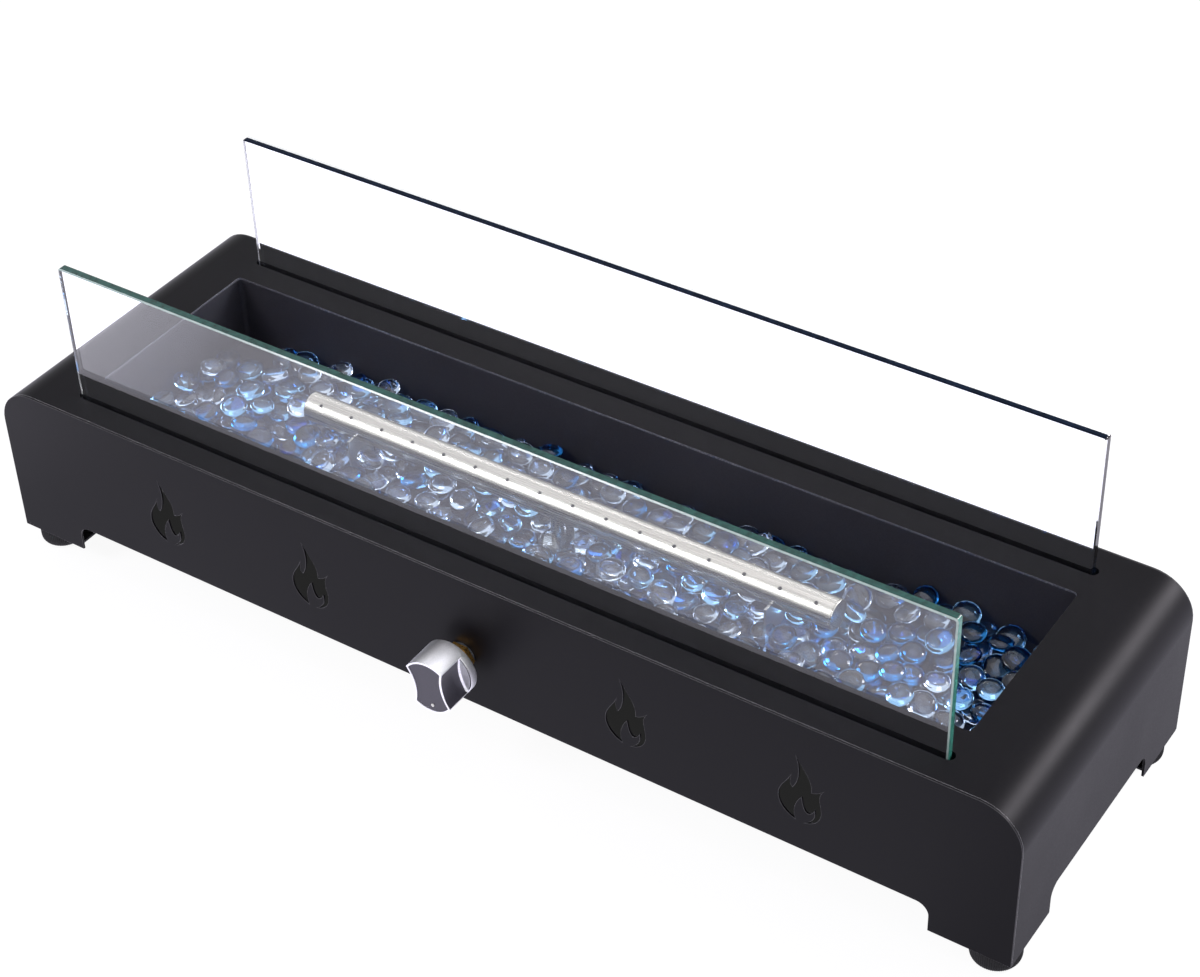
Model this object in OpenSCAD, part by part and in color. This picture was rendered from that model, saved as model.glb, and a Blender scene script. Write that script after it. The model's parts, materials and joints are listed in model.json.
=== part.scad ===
// Tabletop gas fire pit: a long black sheet-steel case on four round feet, with a tray of glass
// beads round a straight burner tube, two clear wind guards that lift out, and a press-and-turn tap.
// Millimetres, +Z up, +X along the case, the tap faces -Y. The origin is the middle of the
// bounding box at floor level.

/* [Case] */
// Length of the case
case_len = 711; // [680:1:760]
// Depth of the case from front plate to rear plate
case_depth = 215; // [208:1:240]
// Height of the case without its feet
case_h = 112; // [106:1:130]
// Thickness of the case sheet
sheet = 1.5; // [1:0.1:2]
// Outer radius of the bend from the top to each end
bend_r = 27; // [14:1:34]
// Height of the cut-outs between the corner legs
arch_h = 19; // [14:1:24]
// Fillet at the top corners of each cut-out
arch_r = 8; // [3:0.5:12]
// Width of the legs on the front and rear plates
front_leg_w = 50; // [42:1:70]
// Width of the legs on the two ends
end_leg_w = 46.5; // [40:0.5:60]

/* [Flame vents] */
// Height of one flame-shaped vent
vent_h = 47; // [36:1:54]
// Step from the middle of the case to a vent, and from vent to vent
vent_pitch = 112.5; // [90:0.5:125]
// Depth of the middle of the vents below the case top
vent_drop = 48; // [44:1:54]

/* [Fire tray] */
// Width of the case top left at each end of the opening
bowl_end = 53; // [50:0.5:70]
// Width of the case top left in front of the opening and behind it
bowl_side = 42.5; // [41.5:0.5:50]
// Corner radius of the opening
bowl_r = 3; // [1:0.5:8]
// Depth of the tray floor below the case top
tray_depth = 50; // [44:1:52]
// Thickness of the tray sheet
tray_sheet = 1.2; // [0.8:0.1:1.5]
// How far the tray walls stand back from the edge of the opening
tray_setback = 1; // [0.5:0.1:2]
// Width of the flange that the tray hangs by
tray_rim = 10; // [9:0.5:12]

/* [Wind guards] */
// Distance from the end of the case to the end of a glass panel
glass_end = 54; // [36:0.5:70]
// Thickness of a glass panel
glass_t = 6; // [4:0.5:8]
// Height of glass that shows above the case
glass_rise = 96; // [70:1:140]
// Depth of glass below the case top
glass_seat = 12; // [9:0.5:16]
// Distance from the opening's long edge to the middle of the glass
glass_setback = 21.5; // [20:0.5:26]
// Clearance between the glass and its slot on each face
slot_fit = 0.6; // [0.4:0.1:1]
// Clearance between the glass and each end of its slot
slot_end_fit = 3; // [1:0.5:5]
// Corner radius of the glass
glass_r = 2; // [1:0.5:6]
// Thickness of the cushion strip under the glass
strip_t = 2; // [1:0.5:3]

/* [Burner] */
// Outer diameter of the burner tube
burner_d = 19; // [18:0.5:22]
// Wall of the burner tube
burner_wall = 1; // [0.8:0.1:1.5]
// Length of the burner tube
burner_len = 375; // [330:1:460]
// Depth of the tube's axis below the case top
burner_drop = 18; // [17:0.5:24]
// Number of flame ports in each row
port_count = 16; // [8:1:16]
// Distance of the last port of a row from its end of the tube
port_end = 10.5; // [8:0.5:30]
// Diameter of a flame port
port_d = 2.4; // [1.5:0.1:3]
// Angle of each row of ports from the top of the tube
port_lean = 34; // [20:1:45]
// Distance of each saddle from its end of the tube
saddle_inset = 38; // [25:1:60]
// Outer diameter of the mixer tube that feeds the burner
mixer_d = 14; // [12:0.5:14.5]

/* [Gas tap] */
// Depth of the tap's axis below the case top
tap_drop = 57; // [54:0.5:60]
// Diameter of the knob
knob_d = 36; // [32:0.5:42]
// Length of the knob
knob_len = 23; // [20:0.5:30]
// Gap between the front plate and the back of the knob
knob_gap = 11; // [10.5:0.5:14]
// Thickness of the round flange left at the back of the knob
knob_flange = 5.5; // [4:0.5:8]
// Radius of the two scoops that leave the grip bar
scoop_r = 30; // [26:1:40]
// Width of the grip bar at its waist
grip_waist = 20.6; // [16:0.1:24]
// Width of the polished rim round the knob's face
knob_rim = 1.2; // [0.8:0.1:2]
// Angle that the grip bar leans from upright at rest
knob_lean = 10; // [0:1:30]
// Travel of the knob when it is pressed in
press_travel = 3; // [2:0.5:3.5]
// Diameter of the tap's stem
stem_d = 6; // [5:0.5:7]
// Diameter of the tap's threaded bush
bush_d = 14; // [13:0.5:16]

/* [Gas pipes] */
// Outer diameter of the pipes
pipe_d = 8; // [6:0.5:9]
// Wall of the pipes
pipe_wall = 1; // [0.7:0.1:1.5]
// Bend radius of the pipes to their centre line
pipe_bend = 10; // [8:1:14]
// Outer diameter of the threaded gas inlet
inlet_d = 15.88; // [14:0.01:17]
// Length of the threaded gas inlet behind its hexagon
inlet_len = 16; // [12:0.5:20]

/* [Feet] */
// Diameter of a foot
foot_d = 29.6; // [24:0.2:31]
// Height of a foot
foot_h = 14; // [10:0.5:20]
// Distance of a foot's axis from both outer faces of its corner
foot_inset = 16; // [15.5:0.5:20]
// Number of grip ribs round a foot
foot_ribs = 30; // [16:2:36]

/* [Glass beads] */
// Depth of the lower layers of beads
bed_h = 12; // [9:0.5:14]
// Diameter of the largest bead
bead_d = 19; // [14:0.5:20]
// Height of a bead
bead_h = 8; // [6:0.5:9]

/* [Hidden] */
$fn = 96;
eps = 0.01;
past = 2; // how far a cutter runs past a face
hex_fn = 6;
snug = 0.1; // clearance round pieces that are bolted or welded together
running = 0.05; // clearance of a turning or sliding shaft in its bore
rest_gap = 0.2; // gap under a piece that lifts out

black_steel = "#2b2a2f";
dark_steel = "#3a393f";
stainless = "#b9b7b4";
zinc = "#9fa1a5";
brass = "#b98d45";
satin_chrome = "#c9cacf";
slate = "#5b5963";
clear_glass = [0.62, 0.80, 0.76, 0.45];
bead_blue = "#7f9fd6";
bed_blue = "#33457e";
black_rubber = "#17171a";

// The case: outer faces, and what lies at a set depth below its top
front_y = -case_depth / 2;
vent_z = case_h - vent_drop;
tap_z = case_h - tap_drop;
knob_reach = knob_gap + knob_len;
inlet_hex_t = 5;
inlet_reach = inlet_hex_t + inlet_len;
case_y = (knob_reach - inlet_reach) / 2; // centres the bounding box on the origin
wrap_w = case_depth - 2 * sheet;
under_top = case_h - sheet;

// The opening, and the tray's inner and outer faces
bowl_len = case_len - 2 * bowl_end;
bowl_w = case_depth - 2 * bowl_side;
tray_in_l = bowl_len + 2 * tray_setback;
tray_in_w = bowl_w + 2 * tray_setback;
tray_out_l = tray_in_l + 2 * tray_sheet;
tray_out_w = tray_in_w + 2 * tray_sheet;
tray_floor = case_h - tray_depth;
tray_under = tray_floor - tray_sheet;

// Weld studs under the top, which carry the tray
stud_d = 4;
stud_y = tray_out_w / 2 + tray_rim / 2 + 0.5;
stud_x = tray_out_l / 2 + tray_rim / 2 + 0.5;
stud_step = bowl_len * 0.36;
stud_len = tray_sheet + 5;
stud_places = concat(
    [for (sx = [-1, 0, 1], sy = [-1, 1]) [sx * stud_step, sy * stud_y]],
    [for (sx = [-1, 1]) [sx * stud_x, 0]]
);

// The wind guards and their channels
glass_len = case_len - 2 * glass_end;
glass_y = bowl_w / 2 + glass_setback;
slot_w = glass_t + 2 * slot_fit;
slot_len = glass_len + 2 * slot_end_fit;
channel_t = 1.2;
channel_lip = 3.5;
channel_depth = glass_seat - sheet + rest_gap + strip_t + channel_t;
glass_bottom = case_h - glass_seat;

// The burner and the mixer tube under it
burner_r = burner_d / 2;
burner_z = case_h - burner_drop;
mixer_r = mixer_d / 2;
mixer_bore = mixer_r - 1.5;
mixer_top = burner_z - burner_r * 0.5;
mixer_collar_r = mixer_r + 4;
mixer_collar_t = 2.5;
mixer_nut_t = 4;
air_hole_r = 3;
air_margin = 1;
port_pitch = (burner_len - 2 * port_end) / (port_count - 1);
saddle_x = burner_len / 2 - saddle_inset;
saddle_t = 1.5;
saddle_w = 30;
saddle_foot = 16;

// Pipes, their nuts and the nipples they seat on
pipe_r = pipe_d / 2;
nut_wall = 5.2;
nut_r = pipe_r + nut_wall;
nut_len = 10;
nut_grip = 3; // length of the nut's small bore round the pipe
nipple_r = pipe_r + 1.5;
nipple_len = 8.5;
pipe_straight = nut_grip + 2; // straight end of a pipe inside its nut

// The tap, measured along its axis: u is the distance in front of the front plate
stem_r = stem_d / 2;
bush_r = bush_d / 2;
barrel_r = bush_r + 4;
barrel_len = case_depth / 2 - sheet - tray_out_w / 2 - 4;
bush_front = knob_gap - press_travel - 1;
chamber_r = stem_r + 3;
chamber_front = -8;
chamber_rear = -26;
collar_t = 1.5;
washer_t = 2;
spring_wire = 1;
spring_turns = 6;
stem_tail = -(barrel_len - press_travel - 1);
stem_cover = 8; // thickness of knob left over the end of the stem
stem_nose = knob_gap + knob_len - stem_cover;
block_drop = 12; // bottom of the tap's block below its axis
port_u = -24; // where the feed leaves the tap
inlet_port_drop = 6;
panel_washer_t = 1;
panel_nut_t = 4;

// Feed pipe: straight down from the tap, back under the tray, and up to the jet
feed_y = front_y - port_u;
feed_top = tap_z - block_drop - nipple_len - rest_gap;
jet_hex_t = 5;
jet_bore = 1.2;
jet_thread = nipple_len - 1;
jet_spigot = 3;
air_hole_z = tray_under - mixer_nut_t - air_hole_r - air_margin;
mixer_bottom = air_hole_z - air_hole_r - air_margin - jet_spigot;
jet_bottom = mixer_bottom - jet_hex_t - jet_thread;
jet_feed_top = jet_bottom - rest_gap;
feed_z = min(feed_top, jet_feed_top) - pipe_straight - pipe_bend;

// Supply pipe: sideways out of the tap, then back to the rear plate
supply_z = tap_z - inlet_port_drop;
supply_u = -16;
supply_y = front_y - supply_u;
supply_start = barrel_r - 1 + nipple_len + rest_gap;
supply_x = supply_start + pipe_straight + pipe_bend;
inlet_hex_r = inlet_d / 2 + 4.5;
inlet_nut_t = 5;
inlet_shank = sheet + inlet_nut_t + 1;

// Feet and leg brackets
foot_x = case_len / 2 - foot_inset;
foot_y = case_depth / 2 - foot_inset;
bracket_t = 1.5;
bracket_wing = arch_h - 4;
screw_r = 2.5;
screw_hole_r = screw_r + 0.2;
screw_head_r = 4.8;
screw_head_t = 3;
foot_recess = 4.5;
foot_nut_r = 4.6;
foot_nut_t = 4;
rib_depth = 0.7;
foot_core_r = foot_d / 2 - rib_depth - 0.3;

// The knob
knob_r = knob_d / 2;
scoop_x = grip_waist / 2 + scoop_r;
face_t = 0.8;
dot_r = 1;
dot_out = knob_r * 0.7;

// Beads
bead_pitch = bead_d + 1;
bead_row = bead_pitch * 0.905;
bead_seed = 41;

// ---------------------------------------------------------------- shared shapes

// From the case's own frame, bottom edge at zero, to the part's frame
module seat() {
    translate([0, case_y, foot_h]) children();
}

// The tap's frame: +Z runs out of the front plate along the tap's axis, +Y is up
module tap_frame() {
    translate([0, front_y, tap_z]) rotate([90, 0, 0]) children();
}

// A plane outline stood upright across the case, centred on y
module upright(y, t) {
    translate([0, y + t / 2, 0]) rotate([90, 0, 0]) linear_extrude(t) children();
}

module tube(r, bore, h) {
    difference() {
        cylinder(r = r, h = h);
        translate([0, 0, -past]) cylinder(r = bore, h = h + 2 * past);
    }
}

module rounded_rect(l, w, r) {
    square([l - 2 * r, w], center = true);
    square([l, w - 2 * r], center = true);
    for (sx = [-1, 1], sy = [-1, 1])
        translate([sx * (l / 2 - r), sy * (w / 2 - r)]) circle(r, $fn = 48);
}

// Front view of the case: square at the bottom, round at the two top corners
module case_outline(l, h, r) {
    translate([-l / 2, 0]) square([l, h - r]);
    translate([r - l / 2, 0]) square([l - 2 * r, h]);
    for (sx = [-1, 1]) translate([sx * (l / 2 - r), h - r]) circle(r);
}

// The cut-out between two legs, open at the bottom
module arch_outline(span, h, r) {
    translate([-span / 2, -past]) square([span, h - r + past]);
    translate([r - span / 2, -past]) square([span - 2 * r, h + past]);
    for (sx = [-1, 1]) translate([sx * (span / 2 - r), h - r]) circle(r, $fn = 48);
}

module hex_nut(r, h, bore) {
    difference() {
        cylinder(r = r, h = h, $fn = hex_fn);
        translate([0, 0, -past]) cylinder(r = bore, h = h + 2 * past, $fn = 48);
    }
}

// A pipe nut: the pipe passes its small bore, the nipple fills its large one
module pipe_nut() {
    difference() {
        cylinder(r = nut_r, h = nut_len, $fn = hex_fn);
        translate([0, 0, -past]) cylinder(r = pipe_r + snug, h = nut_len, $fn = 48);
        translate([0, 0, nut_grip]) cylinder(r = nipple_r + snug, h = nut_len, $fn = 48);
    }
}

module pipe_run(h) {
    tube(pipe_r, pipe_r - pipe_wall, h);
}

// A quarter bend that starts at the origin heading +Z and ends heading +X
module pipe_elbow() {
    translate([pipe_bend, 0, 0]) rotate([90, 0, 0]) rotate_extrude(angle = 90, start = 90)
        translate([pipe_bend, 0]) difference() {
            circle(pipe_r, $fn = 48);
            circle(pipe_r - pipe_wall, $fn = 48);
        }
}

// A point at share t of a cubic curve with ends a, d and handles b, c
function cubic(a, b, c, d, t) =
    pow(1 - t, 3) * a + 3 * t * pow(1 - t, 2) * b + 3 * t * t * (1 - t) * c + pow(t, 3) * d;

// ---------------------------------------------------------------- case

// One vent outline, 47 high, as strokes between tongues and valleys: [start, handle, handle].
// Each stroke ends where the next one starts.
flame_strokes = [
    [[-3, 23.5], [1.5, 15.5], [8, 10]],        // tall tongue, right side
    [[6.8, 1], [8.6, 1], [11.8, 3]],           // valley to the small right tongue
    [[14, 5.5], [10.4, 1], [12.4, -4]],        // down the right side
    [[13.2, -10], [13.8, -17], [10, -22]],     // right belly to its foot
    [[3.6, -23.5], [8.5, -20.5], [10.4, -16]], // inside of the right foot
    [[9.2, -11], [8.2, -14], [6.6, -15.6]],    // inner valley
    [[4.6, -15.6], [2, -14], [1.6, -9]],       // up to the inner tongue
    [[0.9, -5], [-3, -10], [-5, -17]],         // inside of the left foot
    [[-2.6, -23.5], [-9, -21.5], [-13.6, -16]],// left belly
    [[-13.6, -9.5], [-13.6, -2], [-8, 2]],     // up the left side
    [[-6, 8], [-6.8, 4.5], [-6.6, 1.5]],       // small left tongue
    [[-4.9, -0.5], [-1.6, 3.5], [0.6, 14]]     // valley to the tall tongue
];
flame_design_h = 47;
stroke_steps = 6;

function flame_points(h) = [
    for (i = [0 : len(flame_strokes) - 1], j = [0 : stroke_steps - 1])
        let (s = flame_strokes[i], next = flame_strokes[(i + 1) % len(flame_strokes)])
            cubic(s[0], s[1], s[2], next[0], j / stroke_steps) * h / flame_design_h
];

module case_wrap() color(black_steel) seat() {
    difference() {
        upright(0, wrap_w) difference() {
            case_outline(case_len, case_h, bend_r);
            translate([0, -past]) case_outline(case_len - 2 * sheet, under_top + past, bend_r - sheet);
        }
        translate([0, 0, under_top - past]) linear_extrude(sheet + 2 * past)
            rounded_rect(bowl_len, bowl_w, bowl_r);
        for (sy = [-1, 1]) translate([0, sy * glass_y, under_top - past])
            linear_extrude(sheet + 2 * past) rounded_rect(slot_len, slot_w, slot_w / 2 - eps);
        rotate([0, 0, 90]) upright(0, case_len + 2 * past)
            arch_outline(case_depth - 2 * end_leg_w, arch_h, arch_r);
    }
    for (p = stud_places) translate([p[0], p[1], under_top - stud_len])
        cylinder(d = stud_d, h = stud_len + sheet / 2, $fn = 32);
}

module plate_outline() {
    difference() {
        case_outline(case_len, case_h, bend_r);
        arch_outline(case_len - 2 * front_leg_w, arch_h, arch_r);
    }
}

module front_plate() color(black_steel) seat() upright(front_y + sheet / 2, sheet)
    difference() {
        plate_outline();
        for (i = [-2, -1, 1, 2]) translate([i * vent_pitch, vent_z]) polygon(flame_points(vent_h));
        translate([0, tap_z]) circle(bush_r + snug);
    }

module rear_plate() color(black_steel) seat() upright(-front_y - sheet / 2, sheet)
    difference() {
        plate_outline();
        translate([supply_x, supply_z]) circle(inlet_d / 2 + snug);
    }

// Folded corner bracket: a shelf for the foot and a wing up each wall of its leg
module leg_bracket(sx, sy) color(dark_steel) seat() {
    lx = front_leg_w - sheet - 4;
    ly = end_leg_w - sheet - 4;
    mirror([sx < 0 ? 1 : 0, 0, 0]) mirror([0, sy < 0 ? 1 : 0, 0])
        translate([case_len / 2 - sheet, case_depth / 2 - sheet, 0]) difference() {
            translate([-lx, -ly, 0]) cube([lx, ly, bracket_wing]);
            translate([-lx - past, -ly - past, bracket_t])
                cube([lx + past - bracket_t, ly + past - bracket_t, bracket_wing]);
            translate([sheet - foot_inset, sheet - foot_inset, -past])
                cylinder(r = screw_hole_r, h = bracket_t + 2 * past, $fn = 48);
        }
}
module leg_bracket_front_left() leg_bracket(-1, -1);
module leg_bracket_front_right() leg_bracket(1, -1);
module leg_bracket_rear_left() leg_bracket(-1, 1);
module leg_bracket_rear_right() leg_bracket(1, 1);

// Rib outline: a trapezoid wave of foot_ribs teeth round the foot
function rib_wave(r, d) = [
    for (i = [0 : foot_ribs - 1], c = [[0, 0], [0.15, 1], [0.5, 1], [0.65, 0]])
        let (a = (i + c[0]) * 360 / foot_ribs) (r - d + d * c[1]) * [cos(a), sin(a)]
];

module foot(sx, sy) color(black_rubber) seat() translate([sx * foot_x, sy * foot_y, -foot_h])
    difference() {
        union() {
            translate([0, 0, 2]) linear_extrude(foot_h - 3.5) polygon(rib_wave(foot_d / 2, rib_depth));
            cylinder(r1 = foot_core_r - 1.2, r2 = foot_core_r, h = 2);
            translate([0, 0, foot_h - 1.5]) cylinder(r1 = foot_core_r, r2 = foot_core_r - 1, h = 1.5);
        }
        translate([0, 0, -past]) cylinder(r = screw_hole_r, h = foot_h + 2 * past, $fn = 48);
        translate([0, 0, -past]) cylinder(r = screw_head_r + 0.7, h = foot_recess + past, $fn = 48);
    }
module foot_front_left() foot(-1, -1);
module foot_front_right() foot(1, -1);
module foot_rear_left() foot(-1, 1);
module foot_rear_right() foot(1, 1);

module at_feet() {
    for (sx = [-1, 1], sy = [-1, 1]) translate([sx * foot_x, sy * foot_y, 0]) children();
}

module foot_screws() color(zinc) seat() at_feet() {
    translate([0, 0, foot_recess - foot_h]) cylinder(
        r = screw_r, h = foot_h - foot_recess + bracket_t + foot_nut_t + 1, $fn = 48);
    translate([0, 0, foot_recess - foot_h - screw_head_t]) difference() {
        cylinder(r1 = screw_head_r - 1.2, r2 = screw_head_r, h = screw_head_t, $fn = 48);
        translate([0, 0, -eps]) cylinder(r = 2.2, h = 1.8, $fn = hex_fn);
    }
}

module foot_nuts() color(zinc) seat() at_feet() translate([0, 0, bracket_t])
    hex_nut(foot_nut_r, foot_nut_t, screw_r + running);

// ---------------------------------------------------------------- fire tray

// A folded tray that hangs by its flange from studs under the case top
module fire_tray() color(dark_steel) seat() difference() {
    union() {
        translate([0, 0, under_top - tray_sheet]) linear_extrude(tray_sheet)
            square([tray_out_l + 2 * tray_rim, tray_out_w + 2 * tray_rim], center = true);
        translate([0, 0, tray_under]) linear_extrude(under_top - tray_under)
            rounded_rect(tray_out_l, tray_out_w, bowl_r + tray_sheet);
    }
    translate([0, 0, tray_floor]) linear_extrude(tray_depth) rounded_rect(tray_in_l, tray_in_w, bowl_r);
    translate([0, 0, tray_under - past]) cylinder(r = mixer_r + snug, h = tray_sheet + 2 * past);
    for (p = stud_places) translate([p[0], p[1], under_top - tray_sheet - past])
        cylinder(r = stud_d / 2 + 0.2, h = tray_sheet + 2 * past, $fn = 48);
    at_saddle_screws() translate([0, 0, tray_under - past])
        cylinder(r = saddle_screw_r + snug, h = tray_sheet + 2 * past, $fn = 48);
}

module tray_nuts() color(zinc) seat() for (p = stud_places)
    translate([p[0], p[1], under_top - tray_sheet - 3.2]) hex_nut(4, 3.2, stud_d / 2 + running);

// ---------------------------------------------------------------- wind guards

// Folded hat channel welded under a slot, which holds the foot of the glass
module glass_channel(sy) color(dark_steel) seat()
    translate([0, sy * glass_y, under_top]) rotate([90, 0, 90])
        translate([0, 0, -slot_len / 2]) linear_extrude(slot_len) difference() {
            union() {
                translate([-slot_w / 2 - channel_t, -channel_depth])
                    square([slot_w + 2 * channel_t, channel_depth]);
                translate([-slot_w / 2 - channel_t - channel_lip, -channel_t])
                    square([slot_w + 2 * (channel_t + channel_lip), channel_t]);
            }
            translate([-slot_w / 2, channel_t - channel_depth]) square([slot_w, channel_depth]);
        }
module glass_channel_front() glass_channel(-1);
module glass_channel_rear() glass_channel(1);

// Cushion strip on the floor of a channel
module glass_strip(sy) color(black_rubber) seat()
    translate([0, sy * glass_y, glass_bottom - rest_gap - strip_t / 2])
        cube([glass_len, slot_w - 2 * snug, strip_t], center = true);
module glass_strip_front() glass_strip(-1);
module glass_strip_rear() glass_strip(1);

module glass_panel(sy) color(clear_glass) seat()
    translate([0, 0, glass_bottom + (glass_rise + glass_seat) / 2])
        upright(sy * glass_y, glass_t) rounded_rect(glass_len, glass_rise + glass_seat, glass_r);
module glass_front() glass_panel(-1);
module glass_rear() glass_panel(1);

// ---------------------------------------------------------------- burner

module along_x() {
    rotate([0, 90, 0]) children();
}

module burner_tube() color(stainless) seat() translate([0, 0, burner_z]) difference() {
    translate([-burner_len / 2, 0, 0]) along_x() tube(burner_r, burner_r - burner_wall, burner_len);
    for (i = [0 : port_count - 1], lean = [-port_lean, port_lean])
        translate([(i - (port_count - 1) / 2) * port_pitch, 0, 0]) rotate([lean, 0, 0])
            cylinder(d = port_d, h = burner_r + past, $fn = 32);
    translate([0, 0, -burner_r - past]) cylinder(r = mixer_r + snug, h = burner_r + past);
}

// Pressed end cap: a disc with a short plug inside the tube
module burner_cap(sx) color(stainless) seat()
    translate([sx * burner_len / 2, 0, burner_z]) mirror([sx < 0 ? 1 : 0, 0, 0]) along_x() {
        cylinder(r = burner_r, h = 1.2);
        translate([0, 0, -5]) cylinder(r = burner_r - burner_wall - running, h = 5 + eps);
    }
module burner_cap_left() burner_cap(-1);
module burner_cap_right() burner_cap(1);

saddle_screw_r = 2;
saddle_screw_x = saddle_t / 2 + saddle_foot / 2;

module at_saddle_screws() {
    for (sx = [-1, 1]) translate([sx * (saddle_x + saddle_screw_x), 0, 0]) children();
}

// Folded saddle: an upright cheek with a half-round seat, and a foot screwed to the tray floor
module burner_saddle(sx) color(zinc) seat() mirror([sx < 0 ? 1 : 0, 0, 0])
    translate([saddle_x, 0, tray_floor]) {
        rise = burner_z - tray_floor - 3;
        difference() {
            translate([-saddle_t / 2, -saddle_w / 2, 0]) cube([saddle_t, saddle_w, rise]);
            translate([-past, 0, burner_z - tray_floor]) along_x()
                cylinder(r = burner_r + snug, h = 2 * past);
        }
        translate([-saddle_t / 2, -saddle_w / 2, 0]) difference() {
            cube([saddle_foot, saddle_w, saddle_t]);
            translate([saddle_t / 2 + saddle_screw_x, saddle_w / 2, -past])
                cylinder(r = saddle_screw_r + snug, h = saddle_t + 2 * past, $fn = 48);
        }
    }
module burner_saddle_left() burner_saddle(-1);
module burner_saddle_right() burner_saddle(1);

module saddle_screws() color(zinc) seat() at_saddle_screws() {
    translate([0, 0, tray_under - 4]) cylinder(
        r = saddle_screw_r, h = 4 + tray_sheet + saddle_t, $fn = 48);
    translate([0, 0, tray_floor + saddle_t]) cylinder(r1 = 3.6, r2 = 2.6, h = 2, $fn = 48);
}

module saddle_nuts() color(zinc) seat() at_saddle_screws()
    translate([0, 0, tray_under - 3]) hex_nut(3.9, 3, saddle_screw_r + running);

// Mixer tube: feeds the burner through the tray floor and draws air through its side holes
module mixer_tube() color(stainless) seat() difference() {
    union() {
        translate([0, 0, mixer_bottom]) cylinder(r = mixer_r, h = mixer_top - mixer_bottom);
        translate([0, 0, tray_floor]) cylinder(r = mixer_collar_r, h = mixer_collar_t);
    }
    translate([0, 0, mixer_bottom - past])
        cylinder(r = mixer_bore, h = mixer_top - mixer_bottom + 2 * past);
    for (a = [0, 90]) translate([0, 0, air_hole_z])
        rotate([90, 0, a]) translate([0, 0, -mixer_d])
            cylinder(r = air_hole_r, h = 2 * mixer_d, $fn = 48);
}

module mixer_locknut() color(zinc) seat() translate([0, 0, tray_under - mixer_nut_t])
    hex_nut(mixer_r + 5, mixer_nut_t, mixer_r + running);

// Jet: a spigot in the foot of the mixer tube, a hexagon, and a nipple for the feed pipe
module gas_jet() color(brass) seat() difference() {
    union() {
        translate([0, 0, mixer_bottom]) cylinder(r = mixer_bore - running, h = jet_spigot);
        translate([0, 0, mixer_bottom - jet_hex_t])
            cylinder(r = mixer_r + 1.5, h = jet_hex_t, $fn = hex_fn);
        translate([0, 0, jet_bottom]) cylinder(r = nipple_r, h = nipple_len, $fn = 48);
    }
    translate([0, 0, jet_bottom - past])
        cylinder(r = pipe_r - pipe_wall, h = mixer_bottom - jet_bottom + past, $fn = 48);
    translate([0, 0, mixer_bottom - past])
        cylinder(d = jet_bore, h = jet_spigot + 2 * past, $fn = 32);
}

// ---------------------------------------------------------------- pipes

module feed_pipe() color(brass) seat() {
    translate([0, feed_y, feed_z + pipe_bend]) {
        pipe_run(feed_top - feed_z - pipe_bend);
        rotate([0, 180, -90]) pipe_elbow();
    }
    translate([0, feed_y + pipe_bend, feed_z]) rotate([-90, 0, 0])
        pipe_run(-feed_y - 2 * pipe_bend);
    translate([0, 0, feed_z + pipe_bend]) {
        rotate([180, 0, -90]) pipe_elbow();
        pipe_run(jet_feed_top - feed_z - pipe_bend);
    }
}

module feed_nuts() color(brass) seat() {
    translate([0, feed_y, feed_top - nut_grip]) pipe_nut();
    translate([0, 0, jet_feed_top - nut_grip]) pipe_nut();
}

module supply_pipe() color(brass) seat() translate([0, supply_y, supply_z]) {
    translate([supply_start, 0, 0]) along_x() pipe_run(pipe_straight);
    translate([supply_start + pipe_straight, 0, 0]) rotate([90, 0, 0]) rotate([0, 90, 0])
        pipe_elbow();
    translate([supply_x, pipe_bend, 0]) rotate([-90, 0, 0])
        pipe_run(supply_end - supply_y - pipe_bend);
}

supply_end = -front_y - sheet - inlet_nut_t - 1 - nipple_len - rest_gap;

module supply_nuts() color(brass) seat() {
    translate([supply_start - rest_gap + nut_grip, supply_y, supply_z])
        rotate([0, -90, 0]) pipe_nut();
    translate([supply_x, supply_end - nut_grip, supply_z]) rotate([-90, 0, 0]) pipe_nut();
}

// Bulkhead inlet: a threaded nose with a 45 degree seat outside, a hexagon against the rear
// plate, a shank through it and a nipple inside
module inlet_fitting() color(brass) seat()
    translate([supply_x, -front_y, supply_z]) rotate([-90, 0, 0]) difference() {
        union() {
            translate([0, 0, inlet_hex_t]) cylinder(d = inlet_d, h = inlet_len - 2.5);
            translate([0, 0, inlet_reach - 2.5])
                cylinder(r1 = inlet_d / 2, r2 = inlet_d / 2 - 2.5, h = 2.5);
            translate([0, 0, snug]) cylinder(r = inlet_hex_r, h = inlet_hex_t - snug, $fn = hex_fn);
            translate([0, 0, -inlet_shank]) cylinder(d = inlet_d, h = inlet_shank + 1);
            translate([0, 0, -inlet_shank - nipple_len])
                cylinder(r = nipple_r, h = nipple_len + 1, $fn = 48);
        }
        translate([0, 0, -inlet_shank - nipple_len - past]) cylinder(
            r = pipe_r - pipe_wall, h = inlet_shank + nipple_len + inlet_reach + 2 * past, $fn = 48);
    }

module inlet_washer() color(zinc) seat()
    translate([supply_x, -front_y - sheet - panel_washer_t, supply_z]) rotate([-90, 0, 0])
        tube(inlet_hex_r - 1, inlet_d / 2 + snug, panel_washer_t);

module inlet_locknut() color(brass) seat()
    translate([supply_x, -front_y - sheet - panel_washer_t - inlet_nut_t + 1, supply_z])
        rotate([-90, 0, 0]) hex_nut(inlet_hex_r, inlet_nut_t - 1, inlet_d / 2 + running);

// ---------------------------------------------------------------- tap

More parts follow.
